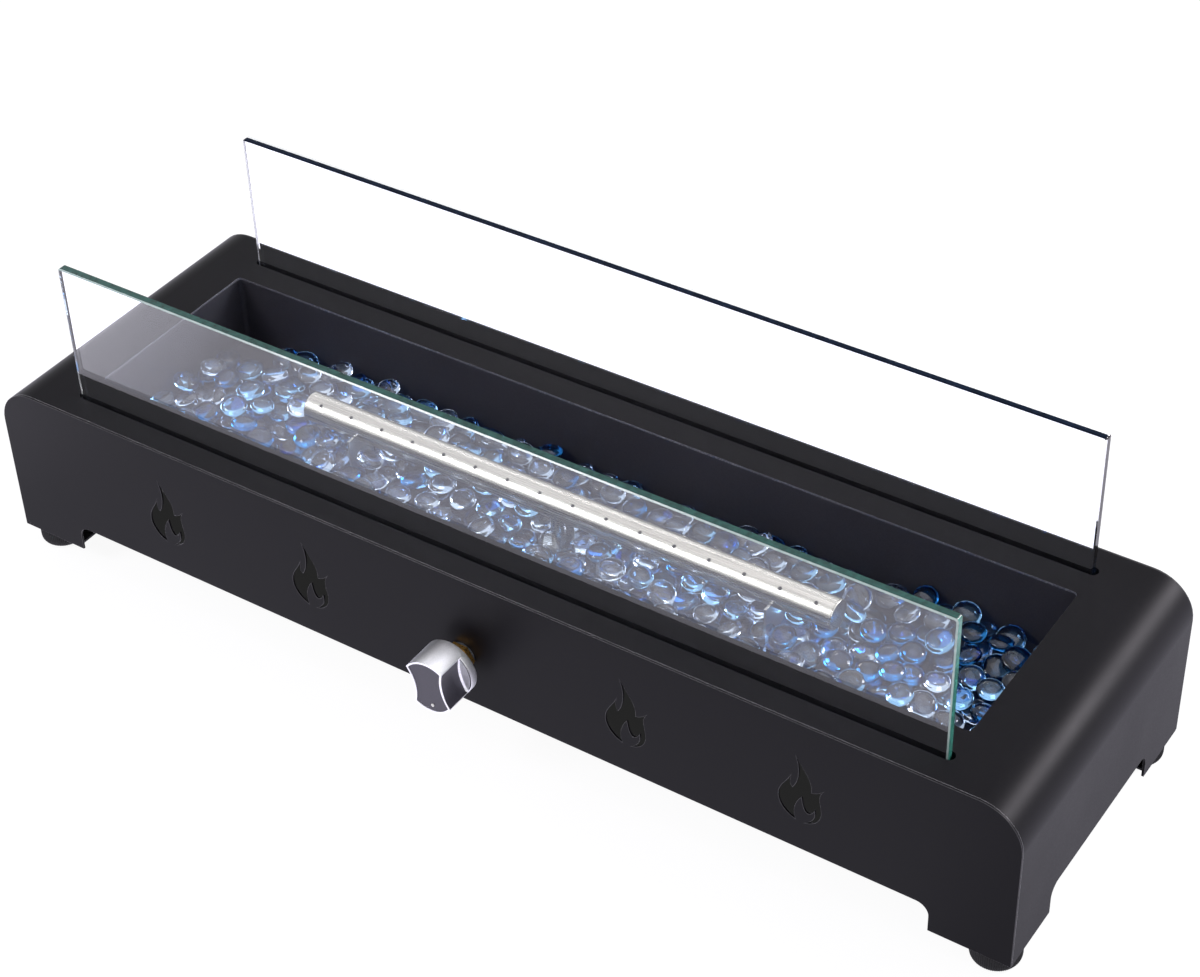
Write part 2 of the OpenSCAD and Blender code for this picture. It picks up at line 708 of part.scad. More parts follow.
module valve_body() color(brass) seat() difference() {
    union() {
        tap_frame() translate([0, 0, -sheet - barrel_len]) cylinder(r = barrel_r, h = barrel_len);
        tap_frame() translate([0, 0, -sheet - 1]) cylinder(r = bush_r, h = bush_front + sheet + 1);
        translate([0, front_y + sheet + barrel_len / 2 + 1, tap_z - block_drop / 2])
            cube([2 * barrel_r, barrel_len - 4, block_drop], center = true);
        translate([0, feed_y, feed_top + rest_gap]) cylinder(r = nipple_r, h = nipple_len + 1, $fn = 48);
        translate([0, supply_y, supply_z]) along_x()
            cylinder(r = nipple_r, h = barrel_r - 1 + nipple_len, $fn = 48);
    }
    tap_frame() {
        translate([0, 0, chamber_rear]) cylinder(r = chamber_r, h = chamber_front - chamber_rear);
        translate([0, 0, stem_tail - press_travel - 0.5])
            cylinder(r = stem_r + running, h = bush_front - stem_tail + press_travel + past);
    }
}

module valve_washer() color(zinc) seat() tap_frame()
    tube(bush_r + 1.4, bush_r + snug, panel_washer_t);

module valve_nut() color(brass) seat() tap_frame() translate([0, 0, panel_washer_t])
    hex_nut(bush_r + 2.8, panel_nut_t, bush_r + running);

// Stem: a flat on its nose for the knob, and a collar that pushes the thrust washer
module valve_stem() color(zinc) seat() tap_frame() rotate([0, 0, knob_lean]) {
    difference() {
        translate([0, 0, stem_tail]) cylinder(r = stem_r, h = stem_nose - stem_tail, $fn = 64);
        translate([-stem_d, stem_r - 1, knob_gap + 2]) cube([2 * stem_d, stem_d, knob_len]);
    }
    translate([0, 0, chamber_front - 0.3 - collar_t])
        cylinder(r = stem_r + 1.5, h = collar_t, $fn = 64);
}

washer_front = chamber_front - 0.3 - collar_t - 0.1;

module thrust_washer() color(zinc) seat() tap_frame()
    translate([0, 0, washer_front - washer_t])
        tube(chamber_r - 0.2, stem_r + running, washer_t);

// Point at share t of the spring's helix, and the ring of points round the wire there
spring_front = washer_front - washer_t - rest_gap - spring_wire / 2;
spring_back = chamber_rear + rest_gap + spring_wire / 2;
spring_r = (chamber_r + stem_r) / 2;
spring_sides = 6;
spring_rings = spring_turns * 12;
function spring_point(t) = [
    spring_r * cos(360 * spring_turns * t),
    spring_r * sin(360 * spring_turns * t),
    spring_back + (spring_front - spring_back) * t
];
function spring_ring(t) = let (a = 360 * spring_turns * t, c = spring_point(t)) [
    for (k = [0 : spring_sides - 1]) let (b = 360 * k / spring_sides, w = spring_wire / 2)
        c + [w * cos(b) * cos(a), w * cos(b) * sin(a), w * sin(b)]
];

module valve_spring() color(stainless) seat() tap_frame() {
    n = spring_sides;
    points = [for (i = [0 : spring_rings], p = spring_ring(i / spring_rings)) p];
    sides = [for (i = [0 : spring_rings - 1], k = [0 : n - 1], f = [0, 1])
        let (a = i * n + k, b = i * n + (k + 1) % n) f == 0 ? [a, b, b + n] : [a, b + n, a + n]];
    near = [for (k = [1 : n - 2]) [0, k + 1, k]];
    far = [for (k = [1 : n - 2]) [for (q = [0, k, k + 1]) spring_rings * n + q]];
    polyhedron(points, concat(sides, near, far));
}

// ---------------------------------------------------------------- knob

// The grip bar's face: the knob's circle less a scoop at each side, drawn in by inset
module grip_outline(inset) {
    difference() {
        circle(knob_r - inset);
        for (s = [-1, 1]) translate([s * scoop_x, 0]) circle(scoop_r + inset, $fn = 128);
    }
}

module knob_frame() {
    seat() tap_frame() rotate([0, 0, knob_lean]) children();
}

module knob() color(satin_chrome) knob_frame() difference() {
    translate([0, 0, knob_gap]) cylinder(r = knob_r, h = knob_len);
    for (s = [-1, 1]) translate([s * scoop_x, 0, knob_gap + knob_flange])
        cylinder(r = scoop_r, h = knob_len, $fn = 128);
    translate([0, 0, knob_reach - face_t]) linear_extrude(face_t + past) grip_outline(knob_rim);
    difference() {
        translate([0, 0, knob_gap - past])
            cylinder(r = stem_r + running, h = stem_nose - knob_gap + past + 0.3, $fn = 64);
        translate([-stem_d, stem_r - 1 + running, knob_gap + 2 - running])
            cube([2 * stem_d, stem_d, knob_len]);
    }
}

module knob_face() color(slate) knob_frame() translate([0, 0, knob_reach - face_t])
    linear_extrude(face_t - 0.2) difference() {
        grip_outline(knob_rim + running);
        translate([0, -dot_out]) circle(dot_r + running, $fn = 32);
    }

module knob_dot() color("white") knob_frame() translate([0, -dot_out, knob_reach - face_t])
    cylinder(r = dot_r, h = face_t, $fn = 32);

// ---------------------------------------------------------------- glass beads

// Lower layers of beads, as one bed round the saddles and the mixer tube
module bead_bed() color(bed_blue) seat() difference() {
    translate([0, 0, tray_floor]) linear_extrude(bed_h) difference() {
        rounded_rect(tray_in_l - 0.6, tray_in_w - 0.6, bowl_r);
        circle(mixer_collar_r + 0.3);
        for (sx = [-1, 1]) translate([sx * (saddle_x + saddle_foot / 2 - saddle_t / 2), 0])
            square([saddle_foot + 1.4, saddle_w + 0.8], center = true);
    }
}

// One flat-bottomed bead of diameter d: a low dome that meets its base in a round edge
module bead(d) {
    edge = bead_h * 0.32;
    dome_r = (pow(d / 2 - edge / 2, 2) + pow(bead_h - edge, 2)) / (2 * (bead_h - edge));
    rotate_extrude() intersection() {
        translate([0, bead_h - dome_r]) circle(dome_r);
        union() {
            square([d / 2 - edge, bead_h]);
            translate([0, edge]) square([d / 2, bead_h]);
            translate([d / 2 - edge, edge]) circle(edge, $fn = 32);
        }
    }
}

// The top layer: staggered rows of beads of mixed sizes, with the middle row only past the tube
module glass_beads() color(bead_blue) seat() {
    rows = floor((tray_in_w / 2 - bead_d / 2 - 0.5) / bead_row);
    cols = floor((tray_in_l / 2 - bead_d / 2 - 0.5) / bead_pitch);
    sizes = rands(0.84, 1, (2 * rows + 1) * (2 * cols + 1), bead_seed);
    for (row = [-rows : rows], col = [-cols : cols]) {
        odd = abs(row) % 2;
        x = (col + odd / 2) * bead_pitch;
        y = row * bead_row;
        d = bead_d * sizes[(row + rows) * (2 * cols + 1) + col + cols];
        clear_of_tube = row != 0 || abs(x) > burner_len / 2 + 2 + bead_d / 2;
        clear_of_saddle = abs(abs(x) - saddle_x - saddle_foot / 2) > saddle_foot / 2 + bead_d / 2 + 1
            || abs(y) > saddle_w / 2 + bead_d / 2 + 1;
        in_tray = abs(x) + bead_d / 2 + 0.5 < tray_in_l / 2;
        if (clear_of_tube && clear_of_saddle && in_tray)
            translate([x, y, tray_floor + bed_h]) bead(d);
    }
}

case_wrap();
front_plate();
rear_plate();
leg_bracket_front_left();
leg_bracket_front_right();
leg_bracket_rear_left();
leg_bracket_rear_right();
foot_front_left();
foot_front_right();
foot_rear_left();
foot_rear_right();
foot_screws();
foot_nuts();
fire_tray();
tray_nuts();
glass_channel_front();
glass_channel_rear();
glass_strip_front();
glass_strip_rear();
glass_front();
glass_rear();
burner_tube();
burner_cap_left();
burner_cap_right();
burner_saddle_left();
burner_saddle_right();
saddle_screws();
saddle_nuts();
mixer_tube();
mixer_locknut();
gas_jet();
feed_pipe();
feed_nuts();
valve_body();
valve_washer();
valve_nut();
valve_spring();
thrust_washer();
valve_stem();
supply_pipe();
supply_nuts();
inlet_fitting();
inlet_washer();
inlet_locknut();
knob();
knob_face();
knob_dot();
bead_bed();
glass_beads();
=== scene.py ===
# A tabletop gas fire pit: a satin black steel case on four ribbed feet, a tray of tumbled glass
# beads round a brushed burner tube, two clear wind guards and a satin chrome tap knob.
# Everything is in metres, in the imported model's own frame.
import json
import math

import bmesh
import bpy
import numpy as np
from mathutils import Matrix, Vector


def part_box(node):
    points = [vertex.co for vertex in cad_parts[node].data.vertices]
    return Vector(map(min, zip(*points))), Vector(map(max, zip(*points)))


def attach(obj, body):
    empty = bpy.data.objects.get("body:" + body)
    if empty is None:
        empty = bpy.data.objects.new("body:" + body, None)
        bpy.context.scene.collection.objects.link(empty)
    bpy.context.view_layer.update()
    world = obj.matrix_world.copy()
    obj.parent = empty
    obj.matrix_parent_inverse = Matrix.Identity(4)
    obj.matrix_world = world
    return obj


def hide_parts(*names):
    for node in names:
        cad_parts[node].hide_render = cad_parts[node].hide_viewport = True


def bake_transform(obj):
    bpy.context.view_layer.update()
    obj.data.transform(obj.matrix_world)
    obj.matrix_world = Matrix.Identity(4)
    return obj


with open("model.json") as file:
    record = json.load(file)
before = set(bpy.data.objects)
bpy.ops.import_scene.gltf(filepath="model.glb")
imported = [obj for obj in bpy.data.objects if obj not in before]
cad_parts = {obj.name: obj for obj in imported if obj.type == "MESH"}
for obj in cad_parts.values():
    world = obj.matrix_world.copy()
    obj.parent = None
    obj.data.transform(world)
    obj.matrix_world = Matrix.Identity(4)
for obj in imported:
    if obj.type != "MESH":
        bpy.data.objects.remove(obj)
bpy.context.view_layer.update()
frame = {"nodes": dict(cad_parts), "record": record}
nodes = frame["nodes"]
mm = 0.001
print("frame loaded:", len(nodes), "nodes")


def linear(hexColour):
    # sRGB to linear light: c / 12.92 up to 0.04045, and ((c + 0.055) / 1.055) ** 2.4 above it
    parts = [int(hexColour[i:i + 2], 16) / 255 for i in (1, 3, 5)]
    return tuple(c / 12.92 if c <= 0.04045 else ((c + 0.055) / 1.055) ** 2.4 for c in parts) + (1.0,)


def addNode(tree, kind, settings=None, links=None):
    # settings are inputs or attributes by name, or inputs by number; links are inputs to sockets
    node = tree.nodes.new(kind)
    for name, value in (settings or {}).items():
        if isinstance(name, int) or name in node.inputs:
            node.inputs[name].default_value = value
        else:
            setattr(node, name, value)
    for name, socket in (links or {}).items():
        tree.links.new(socket, node.inputs[name])
    return node


def newMaterial(name):
    # An empty material: its tree, its output node and the Object coordinates all patterns read
    material = bpy.data.materials.new(name)
    material.use_nodes = True
    tree = material.node_tree
    tree.nodes.clear()
    output = addNode(tree, "ShaderNodeOutputMaterial")
    place = addNode(tree, "ShaderNodeTexCoord").outputs["Object"]
    return material, tree, output, place


def patterned(tree, pattern, colours, roughness=None):
    # Links that let a shader's colour, and its roughness, follow a noise pattern. The pattern
    # runs from about 0.3 to 0.7, which is taken to the two ends of each range
    noiseRange = {"From Min": 0.3, "From Max": 0.7}
    share = addNode(tree, "ShaderNodeMapRange", noiseRange, {"Value": pattern}).outputs["Result"]
    ends = {"data_type": "RGBA", 6: linear(colours[0]), 7: linear(colours[1])}
    links = {"Base Color": addNode(tree, "ShaderNodeMix", ends, {0: share}).outputs[2]}
    if roughness:
        reach = {**noiseRange, "To Min": roughness[0], "To Max": roughness[1]}
        links["Roughness"] = addNode(tree, "ShaderNodeMapRange", reach, {"Value": pattern}).outputs["Result"]
    return links


coat = {"cloudMm": 70, "dustMm": 0.8, "dustShare": 0.4, "peelMm": 1.6, "peelDepthMm": 0.010}
coatLooks = {
    "satinPowderCoat": {"colours": ("#0b0a0e", "#100f13"), "roughness": (0.38, 0.46), "specular": 0.09},
    # the tray's heatproof coat is duller and greyer
    "mattTrayCoat": {"colours": ("#28272d", "#323137"), "roughness": (0.50, 0.60), "specular": 0.14},
    # the film is glossier where it wraps a sheared edge, and the edge is painted lighter as well: partly real
    # gloss, partly a painted highlight
    "glossAndPaintedHighlightEdge": {"colours": ("#1d1c20", "#2b2a2f"), "roughness": (0.24, 0.32), "specular": 0.6},
    # round the opening the edge is glossier and painted as a lighter line, a painted highlight, and it is
    # painted brightest of all along the top's front edge
    "paintedHighlightEdge": {"colours": ("#4c4b52", "#5f5e66"), "roughness": (0.22, 0.30), "specular": 0.8},
    "paintedFrontHighlightEdge": {"colours": ("#c3c2c9", "#dad9df"), "roughness": (0.22, 0.30), "specular": 0.8},
}


def powderCoat(name, look):
    # Baked powder coat on sheet steel: a satin film whose fine orange peel softens every
    # highlight, with a slow drift in gloss from one end of a panel to the other
    material, tree, output, place = newMaterial(name)
    cloud = addNode(tree, "ShaderNodeTexNoise", {"Scale": 1 / (look["cloudMm"] * mm), "Detail": 3.0},
                    {"Vector": place}).outputs["Fac"]
    dust = addNode(tree, "ShaderNodeTexNoise", {"Scale": 1 / (look["dustMm"] * mm), "Detail": 0.0},
                   {"Vector": place}).outputs["Fac"]
    blend = addNode(tree, "ShaderNodeMix", {0: look["dustShare"]}, {2: cloud, 3: dust}).outputs[0]
    peel = addNode(tree, "ShaderNodeTexNoise", {"Scale": 1 / (look["peelMm"] * mm), "Detail": 1.0},
                   {"Vector": place}).outputs["Fac"]
    relief = addNode(tree, "ShaderNodeBump", {"Strength": 0.6, "Distance": look["peelDepthMm"] * mm},
                     {"Height": peel}).outputs["Normal"]
    film = addNode(tree, "ShaderNodeBsdfPrincipled", {"Specular IOR Level": look["specular"]},
                   {"Normal": relief, **patterned(tree, blend, look["colours"], look["roughness"])})
    tree.links.new(film.outputs[0], output.inputs["Surface"])
    return material


metalLooks = {
    # grain is the cells per mm along X, Y and Z, and stretch is for marks that run round an axis.
    # Real marks are finer than 0.1 mm, so these are drawn as coarse as they need to be to show.
    # Stainless tube brushed along its length: reflections smear round it
    "brushedStainless": {"colours": ("#b6b1aa", "#d8d4cd"), "roughness": (0.20, 0.34),
                         "grain": (0.02, 2.2, 2.2), "reliefMm": 0.004},
    # bright zinc on small steel parts: pale and cool, without a direction
    "zincPlate": {"colours": ("#9a9da3", "#b9bcc0"), "roughness": (0.34, 0.50),
                  "grain": (0.8, 0.8, 0.8), "reliefMm": 0.003},
    # brass off the lathe: warm, with the tool's fine rings
    "turnedBrass": {"colours": ("#d39a44", "#fbcf7c"), "roughness": (0.24, 0.38),
                    "grain": (0.5, 2.0, 0.5), "reliefMm": 0.003},
    # chrome plate brushed round the knob's axis: soft, with long highlights
    "satinChrome": {"colours": ("#dadbe0", "#f0f0f3"), "roughness": (0.34, 0.44),
                    "grain": (1.2, 3.0, 1.2), "reliefMm": 0.002, "turnedAbout": "Y", "stretch": 0.8},
    # the knob's polished rims and lines: small, bright highlights
    "polishedChrome": {"colours": ("#e6e6ea", "#f4f4f6"), "roughness": (0.10, 0.16),
                       "grain": (1.0, 1.0, 1.0), "reliefMm": 0.001},
}


def worked(name, look):
    # Bare or plated metal: fine tool or brush marks run along the axis with the fewest cells, and
    # marks that run round an axis stretch every reflection along that axis
    material, tree, output, place = newMaterial(name)
    cells = addNode(tree, "ShaderNodeMapping", {"Scale": tuple(n / mm for n in look["grain"])},
                    {"Vector": place}).outputs["Vector"]
    marks = addNode(tree, "ShaderNodeTexNoise", {"Scale": 1.0, "Detail": 4.0, "Roughness": 0.6},
                    {"Vector": cells}).outputs["Fac"]
    relief = addNode(tree, "ShaderNodeBump", {"Strength": 0.5, "Distance": look["reliefMm"] * mm},
                     {"Height": marks}).outputs["Normal"]
    metal = addNode(tree, "ShaderNodeBsdfPrincipled", {"Metallic": 1.0},
                    {"Normal": relief, **patterned(tree, marks, look["colours"], look["roughness"])})
    if "turnedAbout" in look:
        quarterTurn = 0.25
        metal.inputs["Anisotropic"].default_value = look["stretch"]
        metal.inputs["Anisotropic Rotation"].default_value = quarterTurn
        around = addNode(tree, "ShaderNodeTangent", {"direction_type": "RADIAL", "axis": look["turnedAbout"]})
        tree.links.new(around.outputs[0], metal.inputs["Tangent"])
    tree.links.new(metal.outputs[0], output.inputs["Surface"])
    return material


rubberLook = {"colours": ("#0a0a0b", "#151517"), "roughness": (0.62, 0.78), "specular": 0.35,
              "pebbleMm": 0.9, "reliefMm": 0.03}


def mouldedRubber(name, look):
    # Moulded nitrile rubber: almost black, dull, with a faint bloom and a fine pebble
    material, tree, output, place = newMaterial(name)
    pebble = addNode(tree, "ShaderNodeTexNoise", {"Scale": 1 / (look["pebbleMm"] * mm), "Detail": 3.0},
                     {"Vector": place}).outputs["Fac"]
    relief = addNode(tree, "ShaderNodeBump", {"Strength": 0.7, "Distance": look["reliefMm"] * mm},
                     {"Height": pebble}).outputs["Normal"]
    rubber = addNode(tree, "ShaderNodeBsdfPrincipled", {"Specular IOR Level": look["specular"]},
                     {"Normal": relief, **patterned(tree, pebble, look["colours"], look["roughness"])})
    tree.links.new(rubber.outputs[0], output.inputs["Surface"])
    return material


slateLook = {"colours": ("#3d3b44", "#4d4b56"), "roughness": (0.36, 0.48), "metallic": 0.25,
             "specular": 0.45, "flakeMm": 0.35}


def slatePaint(name, look):
    # Slate grey metallic lacquer on the knob's inlay and scoops: dull, with a flake that is drawn
    # coarser than a real one so that it shows
    material, tree, output, place = newMaterial(name)
    flake = addNode(tree, "ShaderNodeTexNoise", {"Scale": 1 / (look["flakeMm"] * mm), "Detail": 2.0},
                    {"Vector": place}).outputs["Fac"]
    paint = addNode(tree, "ShaderNodeBsdfPrincipled",
                    {"Metallic": look["metallic"], "Specular IOR Level": look["specular"]},
                    patterned(tree, flake, look["colours"], look["roughness"]))
    tree.links.new(paint.outputs[0], output.inputs["Surface"])
    return material


enamelLook = {"colours": ("#e9e9e6", "#f6f6f4"), "roughness": 0.4, "cloudMm": 0.7}


def enamel(name, look):
    # A dab of white enamel, slightly uneven
    material, tree, output, place = newMaterial(name)
    cloud = addNode(tree, "ShaderNodeTexNoise", {"Scale": 1 / (look["cloudMm"] * mm)},
                    {"Vector": place}).outputs["Fac"]
    paint = addNode(tree, "ShaderNodeBsdfPrincipled", {"Roughness": look["roughness"]},
                    patterned(tree, cloud, look["colours"]))
    tree.links.new(paint.outputs[0], output.inputs["Surface"])
    return material


glassLooks = {
    "glassFace": {"colours": ("#fbfefe", "#fdfffe"), "clear": 1.0, "roughness": 0.0,
                  "shadow": "#f4faf7", "cloudMm": 200},
    # the edges of float glass look deep green, because the eye looks along the sheet there, and the end that
    # faces the light is painted a lighter sea green: a lit copy of the edge, painted light
    "glassTopEdge": {"colours": ("#1b403b", "#2a5c55"), "clear": 0.20, "roughness": 0.20, "gloss": 0.25,
                     "shadow": "#5fb5a4", "cloudMm": 4},
    "glassPaintedLitEdge": {"colours": ("#2c7467", "#4aa08f"), "clear": 0.35, "roughness": 0.20,
                     "shadow": "#5fb5a4", "cloudMm": 4},
    # the sheet at the back is painted almost navy at the front of its top edge and along its bottom: a darker
    # copy of the edge, painted shade
    "glassPaintedShadeEdge": {"colours": ("#0e1622", "#172234"), "clear": 0.02, "roughness": 0.22, "gloss": 0.02,
                      "shadow": "#5fb5a4", "cloudMm": 4},
    # and the part behind that is painted near white: a painted reflection of the room's light
    "glassPaintedReflectionEdge": {"colours": ("#f1f7f6", "#fbfefd"), "clear": 0.10, "roughness": 0.16,
                        "shadow": "#8fcfc0", "cloudMm": 4},
    # the ground arris between face and edge is a thin line: painted pale where it faces the light along the
    # front's top and lit end, a painted highlight, and painted grey at the ends in shade, a painted shade
    "glassArrisPaintedHighlight": {"colours": ("#b4cdca", "#d3e3e1"), "clear": 0.20, "roughness": 0.14,
                       "shadow": "#8fcfc0", "cloudMm": 4},
    "glassArrisPaintedShade": {"colours": ("#55565e", "#6b6c75"), "clear": 0.25, "roughness": 0.20,
                       "shadow": "#8fcfc0", "cloudMm": 4},
    # tumbled drops of bead glass, clear and wet-looking: almost colourless, sky blue and cobalt
    "paleBeadGlass": {"colours": ("#bfd8fb", "#dfecfe"), "clear": 1.0, "roughness": 0.01,
                      "shadow": "#b9cdec", "cloudMm": 14},
    "skyBeadGlass": {"colours": ("#78b4ec", "#a2d0f7"), "clear": 1.0, "roughness": 0.01,
                     "shadow": "#7fb0e6", "cloudMm": 14},
    "cobaltBeadGlass": {"colours": ("#14589e", "#3587cd"), "clear": 1.0, "roughness": 0.01,
                        "shadow": "#3a78c4", "cloudMm": 14},
}


def clearGlass(name, look):
    # Soda-lime glass: clear through its thickness, and it lets lamps through to what is behind
    material, tree, output, place = newMaterial(name)
    cloud = addNode(tree, "ShaderNodeTexNoise", {"Scale": 1 / (look["cloudMm"] * mm), "Detail": 2.0},
                    {"Vector": place}).outputs["Fac"]
    glass = addNode(tree, "ShaderNodeBsdfPrincipled",
                    {"Transmission Weight": look["clear"], "IOR": 1.5, "Roughness": look["roughness"],
                     "Specular IOR Level": look.get("gloss", 0.5)},
                    patterned(tree, cloud, look["colours"]))
    lamplight = addNode(tree, "ShaderNodeBsdfTransparent", {"Color": linear(look["shadow"])})
    shadowRay = addNode(tree, "ShaderNodeLightPath").outputs["Is Shadow Ray"]
    surface = addNode(tree, "ShaderNodeMixShader", {},
                      {0: shadowRay, 1: glass.outputs[0], 2: lamplight.outputs[0]})
    tree.links.new(surface.outputs[0], output.inputs["Surface"])
    return material


finishes = {name: powderCoat(name, {**coat, **look}) for name, look in coatLooks.items()}
finishes.update({name: worked(name, look) for name, look in metalLooks.items()})
finishes.update({name: clearGlass(name, look) for name, look in glassLooks.items()})
finishes["mouldedRubber"] = mouldedRubber("mouldedRubber", rubberLook)
finishes["slatePaint"] = slatePaint("slatePaint", slateLook)
finishes["whiteEnamel"] = enamel("whiteEnamel", enamelLook)
print("materials:", len(finishes))

# What each material slot of the record is finished with
slotFinish = {
    "black_powder_coat": "satinPowderCoat", "dark_tray_coat": "mattTrayCoat",
    "black_rubber": "mouldedRubber", "zinc_plate": "zincPlate",
    "stainless_steel": "brushedStainless", "brass": "turnedBrass", "satin_chrome": "satinChrome",
    "slate_inlay": "slatePaint", "white_dot": "whiteEnamel", "clear_glass": "glassFace",
    "blue_bead_glass": "skyBeadGlass",
}
slotOf = {s["node"]: s["material_slot"] for s in frame["record"]["subparts"]}
bodyOf = {n: body for body, members in frame["record"]["behaviour"]["bodies"].items() for n in members}
for name, cadNode in nodes.items():
    cadNode.data.materials.clear()
    # the channels take the case's black coat in place of their own finish, as painted shade for how black
    # they look down in their slots
    finish = "satinPowderCoat" if name.startswith("glass_channel") else slotFinish[slotOf[name]]
    cadNode.data.materials.append(finishes[finish])
print("every node has its finish")


def smoothed(piece, angle):
    # Smooth shading, broken at edges that turn by more than angle degrees
    piece.data.shade_smooth()
    piece.data.set_sharp_from_angle(angle=math.radians(angle))


def newPiece(name, points, faces, materials, slots=None, smoothAngle=35):
    # points is an N x 3 array in metres, faces rows of point numbers, slots one number a face
    mesh = bpy.data.meshes.new(name)
    mesh.from_pydata(np.asarray(points).tolist(), [], [tuple(face) for face in faces])
    for material in materials:
        mesh.materials.append(finishes[material])
    if slots is not None:
        mesh.polygons.foreach_set("material_index", np.asarray(slots, np.int32))
    mesh.update()
    piece = bpy.data.objects.new(name, mesh)
    bpy.context.scene.collection.objects.link(piece)
    smoothed(piece, smoothAngle)
    return piece


def ringBands(count, rings):
    # Four-sided faces between neighbouring rings of count points each: a point, the next one round
    # its ring, and the two above them
    along = np.arange(count)
    after = (along + 1) % count
    band = np.stack([along, after, after + count, along + count], axis=1)
    return np.concatenate([band + k * count for k in range(rings - 1)])


def ringFan(start, count, tip):
    # Triangles from each point and the next one of a ring, whose first point is start, to the tip
    along = np.arange(count)
    return np.stack([start + along, start + (along + 1) % count, np.full(count, tip)], axis=1)


turnedOver = [1, 0, 2]  # the order that makes a fan's triangles face the other way


def settled(piece, nodeNames):
    # The piece rides with the body of the nodes it stands for. The spring, which has its rear end in the
    # tap's body and its front end on the washer that the knob presses, is left in place with no body
    if nodeNames == ["valve_spring"]:
        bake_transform(piece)
    else:
        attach(piece, bodyOf[nodeNames[0]])
    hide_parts(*nodeNames)
    return piece


dressing = {
    # points nearer than weldMm become one, and faces that turn by less than flatDegrees one face
    "weldMm": 0.001, "flatDegrees": 0.6,
    # edges that turn by more than roundDegrees are rounded; shading breaks at sharpDegrees
    "roundDegrees": 50, "sharpDegrees": 38,
    # the edges of slots, opening and front are told by their place: how near they are and, for
    # slots and opening, how far below the top. A cut face's normal rises by less than upright
    "edgeMm": 3, "topMm": 2, "upright": 0.2,
    # node: the round's radius in mm, and its finishes where they aren't the node's own
    "nodes": {
        "case_wrap": (0.6, ["paintedHighlightEdge", "paintedFrontHighlightEdge"]), "front_plate": (0.55, ["glossAndPaintedHighlightEdge"]),
        "rear_plate": (0.55, ["glossAndPaintedHighlightEdge"]), "fire_tray": (0.5, ["paintedHighlightEdge"]),
        "burner_tube": (0.25, []), "burner_cap_left": (0.5, []), "burner_cap_right": (0.5, []),
        "valve_nut": (0.35, []), "inlet_fitting": (0.35, []),
        "feed_pipe": (0, []), "supply_pipe": (0, []), "valve_spring": (0, []),
    },
}
edgeReach = dressing["edgeMm"] * mm
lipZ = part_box("case_wrap")[1][2]
lipBottom = lipZ - dressing["topMm"] * mm
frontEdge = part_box("front_plate")[0][1] + edgeReach
slotSpans = [(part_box(name)[0][1] - edgeReach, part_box(name)[1][1] + edgeReach)
             for name in ("glass_front", "glass_rear")]
# the opening's own cut edges lie just round the outline of the bed of beads
openingLow = [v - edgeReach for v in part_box("bead_bed")[0]]
openingHigh = [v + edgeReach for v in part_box("bead_bed")[1]]


def atSlot(point):
    # True on the edges of the two slots in the top sheet, which stay sharp
    return point.z > lipBottom and any(near < point.y < far for near, far in slotSpans)


def paintHighlightEdges(form, paintedHighlight, bright, look):
    # The opening's cut edge takes the first edge finish, a painted highlight, and the rounds along the front
    # of the top take the second, a brighter painted highlight, which is the same finish where a piece has
    # only one
    for face in form.faces:
        middle = face.calc_center_median()
        cut = abs(face.normal.z) < look["upright"] and middle.z > lipBottom
        if cut and all(openingLow[k] < middle[k] < openingHigh[k] for k in (0, 1)):
            face.material_index = paintedHighlight
        elif face.material_index == paintedHighlight and middle.y < frontEdge:
            face.material_index = bright


def roundedCopy(nodeName, radiusMm, edgeFinishes, look):
    # A welded copy of a CAD node: flat areas become single faces, curves shade smooth, and
    # sharp edges get a small round that catches the light
    form = bmesh.new()
    form.from_mesh(nodes[nodeName].data)
    bmesh.ops.remove_doubles(form, verts=form.verts, dist=look["weldMm"] * mm)
    bmesh.ops.dissolve_limit(form, angle_limit=math.radians(look["flatDegrees"]),
                             verts=form.verts, edges=form.edges)
    if radiusMm:
        sharp = [e for e in form.edges if len(e.link_faces) == 2
                 and e.calc_face_angle(0) > math.radians(look["roundDegrees"])
                 and not atSlot((e.verts[0].co + e.verts[1].co) / 2)]
        bmesh.ops.bevel(form, geom=sharp, offset=radiusMm * mm, segments=2, profile=0.5,
                        affect="EDGES", clamp_overlap=True, material=min(1, len(edgeFinishes)))
    form.normal_update()
    if "paintedHighlightEdge" in edgeFinishes:
        paintHighlightEdges(form, 1, len(edgeFinishes), look)
    mesh = bpy.data.meshes.new(nodeName + ".dressed")
    form.to_mesh(mesh)
    form.free()
    for finish in [slotFinish[slotOf[nodeName]], *edgeFinishes]:
        mesh.materials.append(finishes[finish])
    piece = bpy.data.objects.new(nodeName + ".dressed", mesh)
    bpy.context.scene.collection.objects.link(piece)
    smoothed(piece, look["sharpDegrees"])
    flatter = piece.modifiers.new("flat faces stay flat", "WEIGHTED_NORMAL")
    flatter.keep_sharp = True
    return settled(piece, [nodeName])


for name, (radius, edgeFinishes) in dressing["nodes"].items():
    roundedCopy(name, radius, edgeFinishes, dressing)
print("rounded copies:", len(dressing["nodes"]))


foot = {
    "ribs": 72, "ribMm": 0.4, "lowerRoundMm": 4.5, "upperRoundMm": 0.8, "roundSteps": 5,
    # the dish in the sole: its depth, and its bottom's and its rim's shares of the foot's radius
    "dishMm": 1.2, "dishShares": (0.45, 0.62),
}


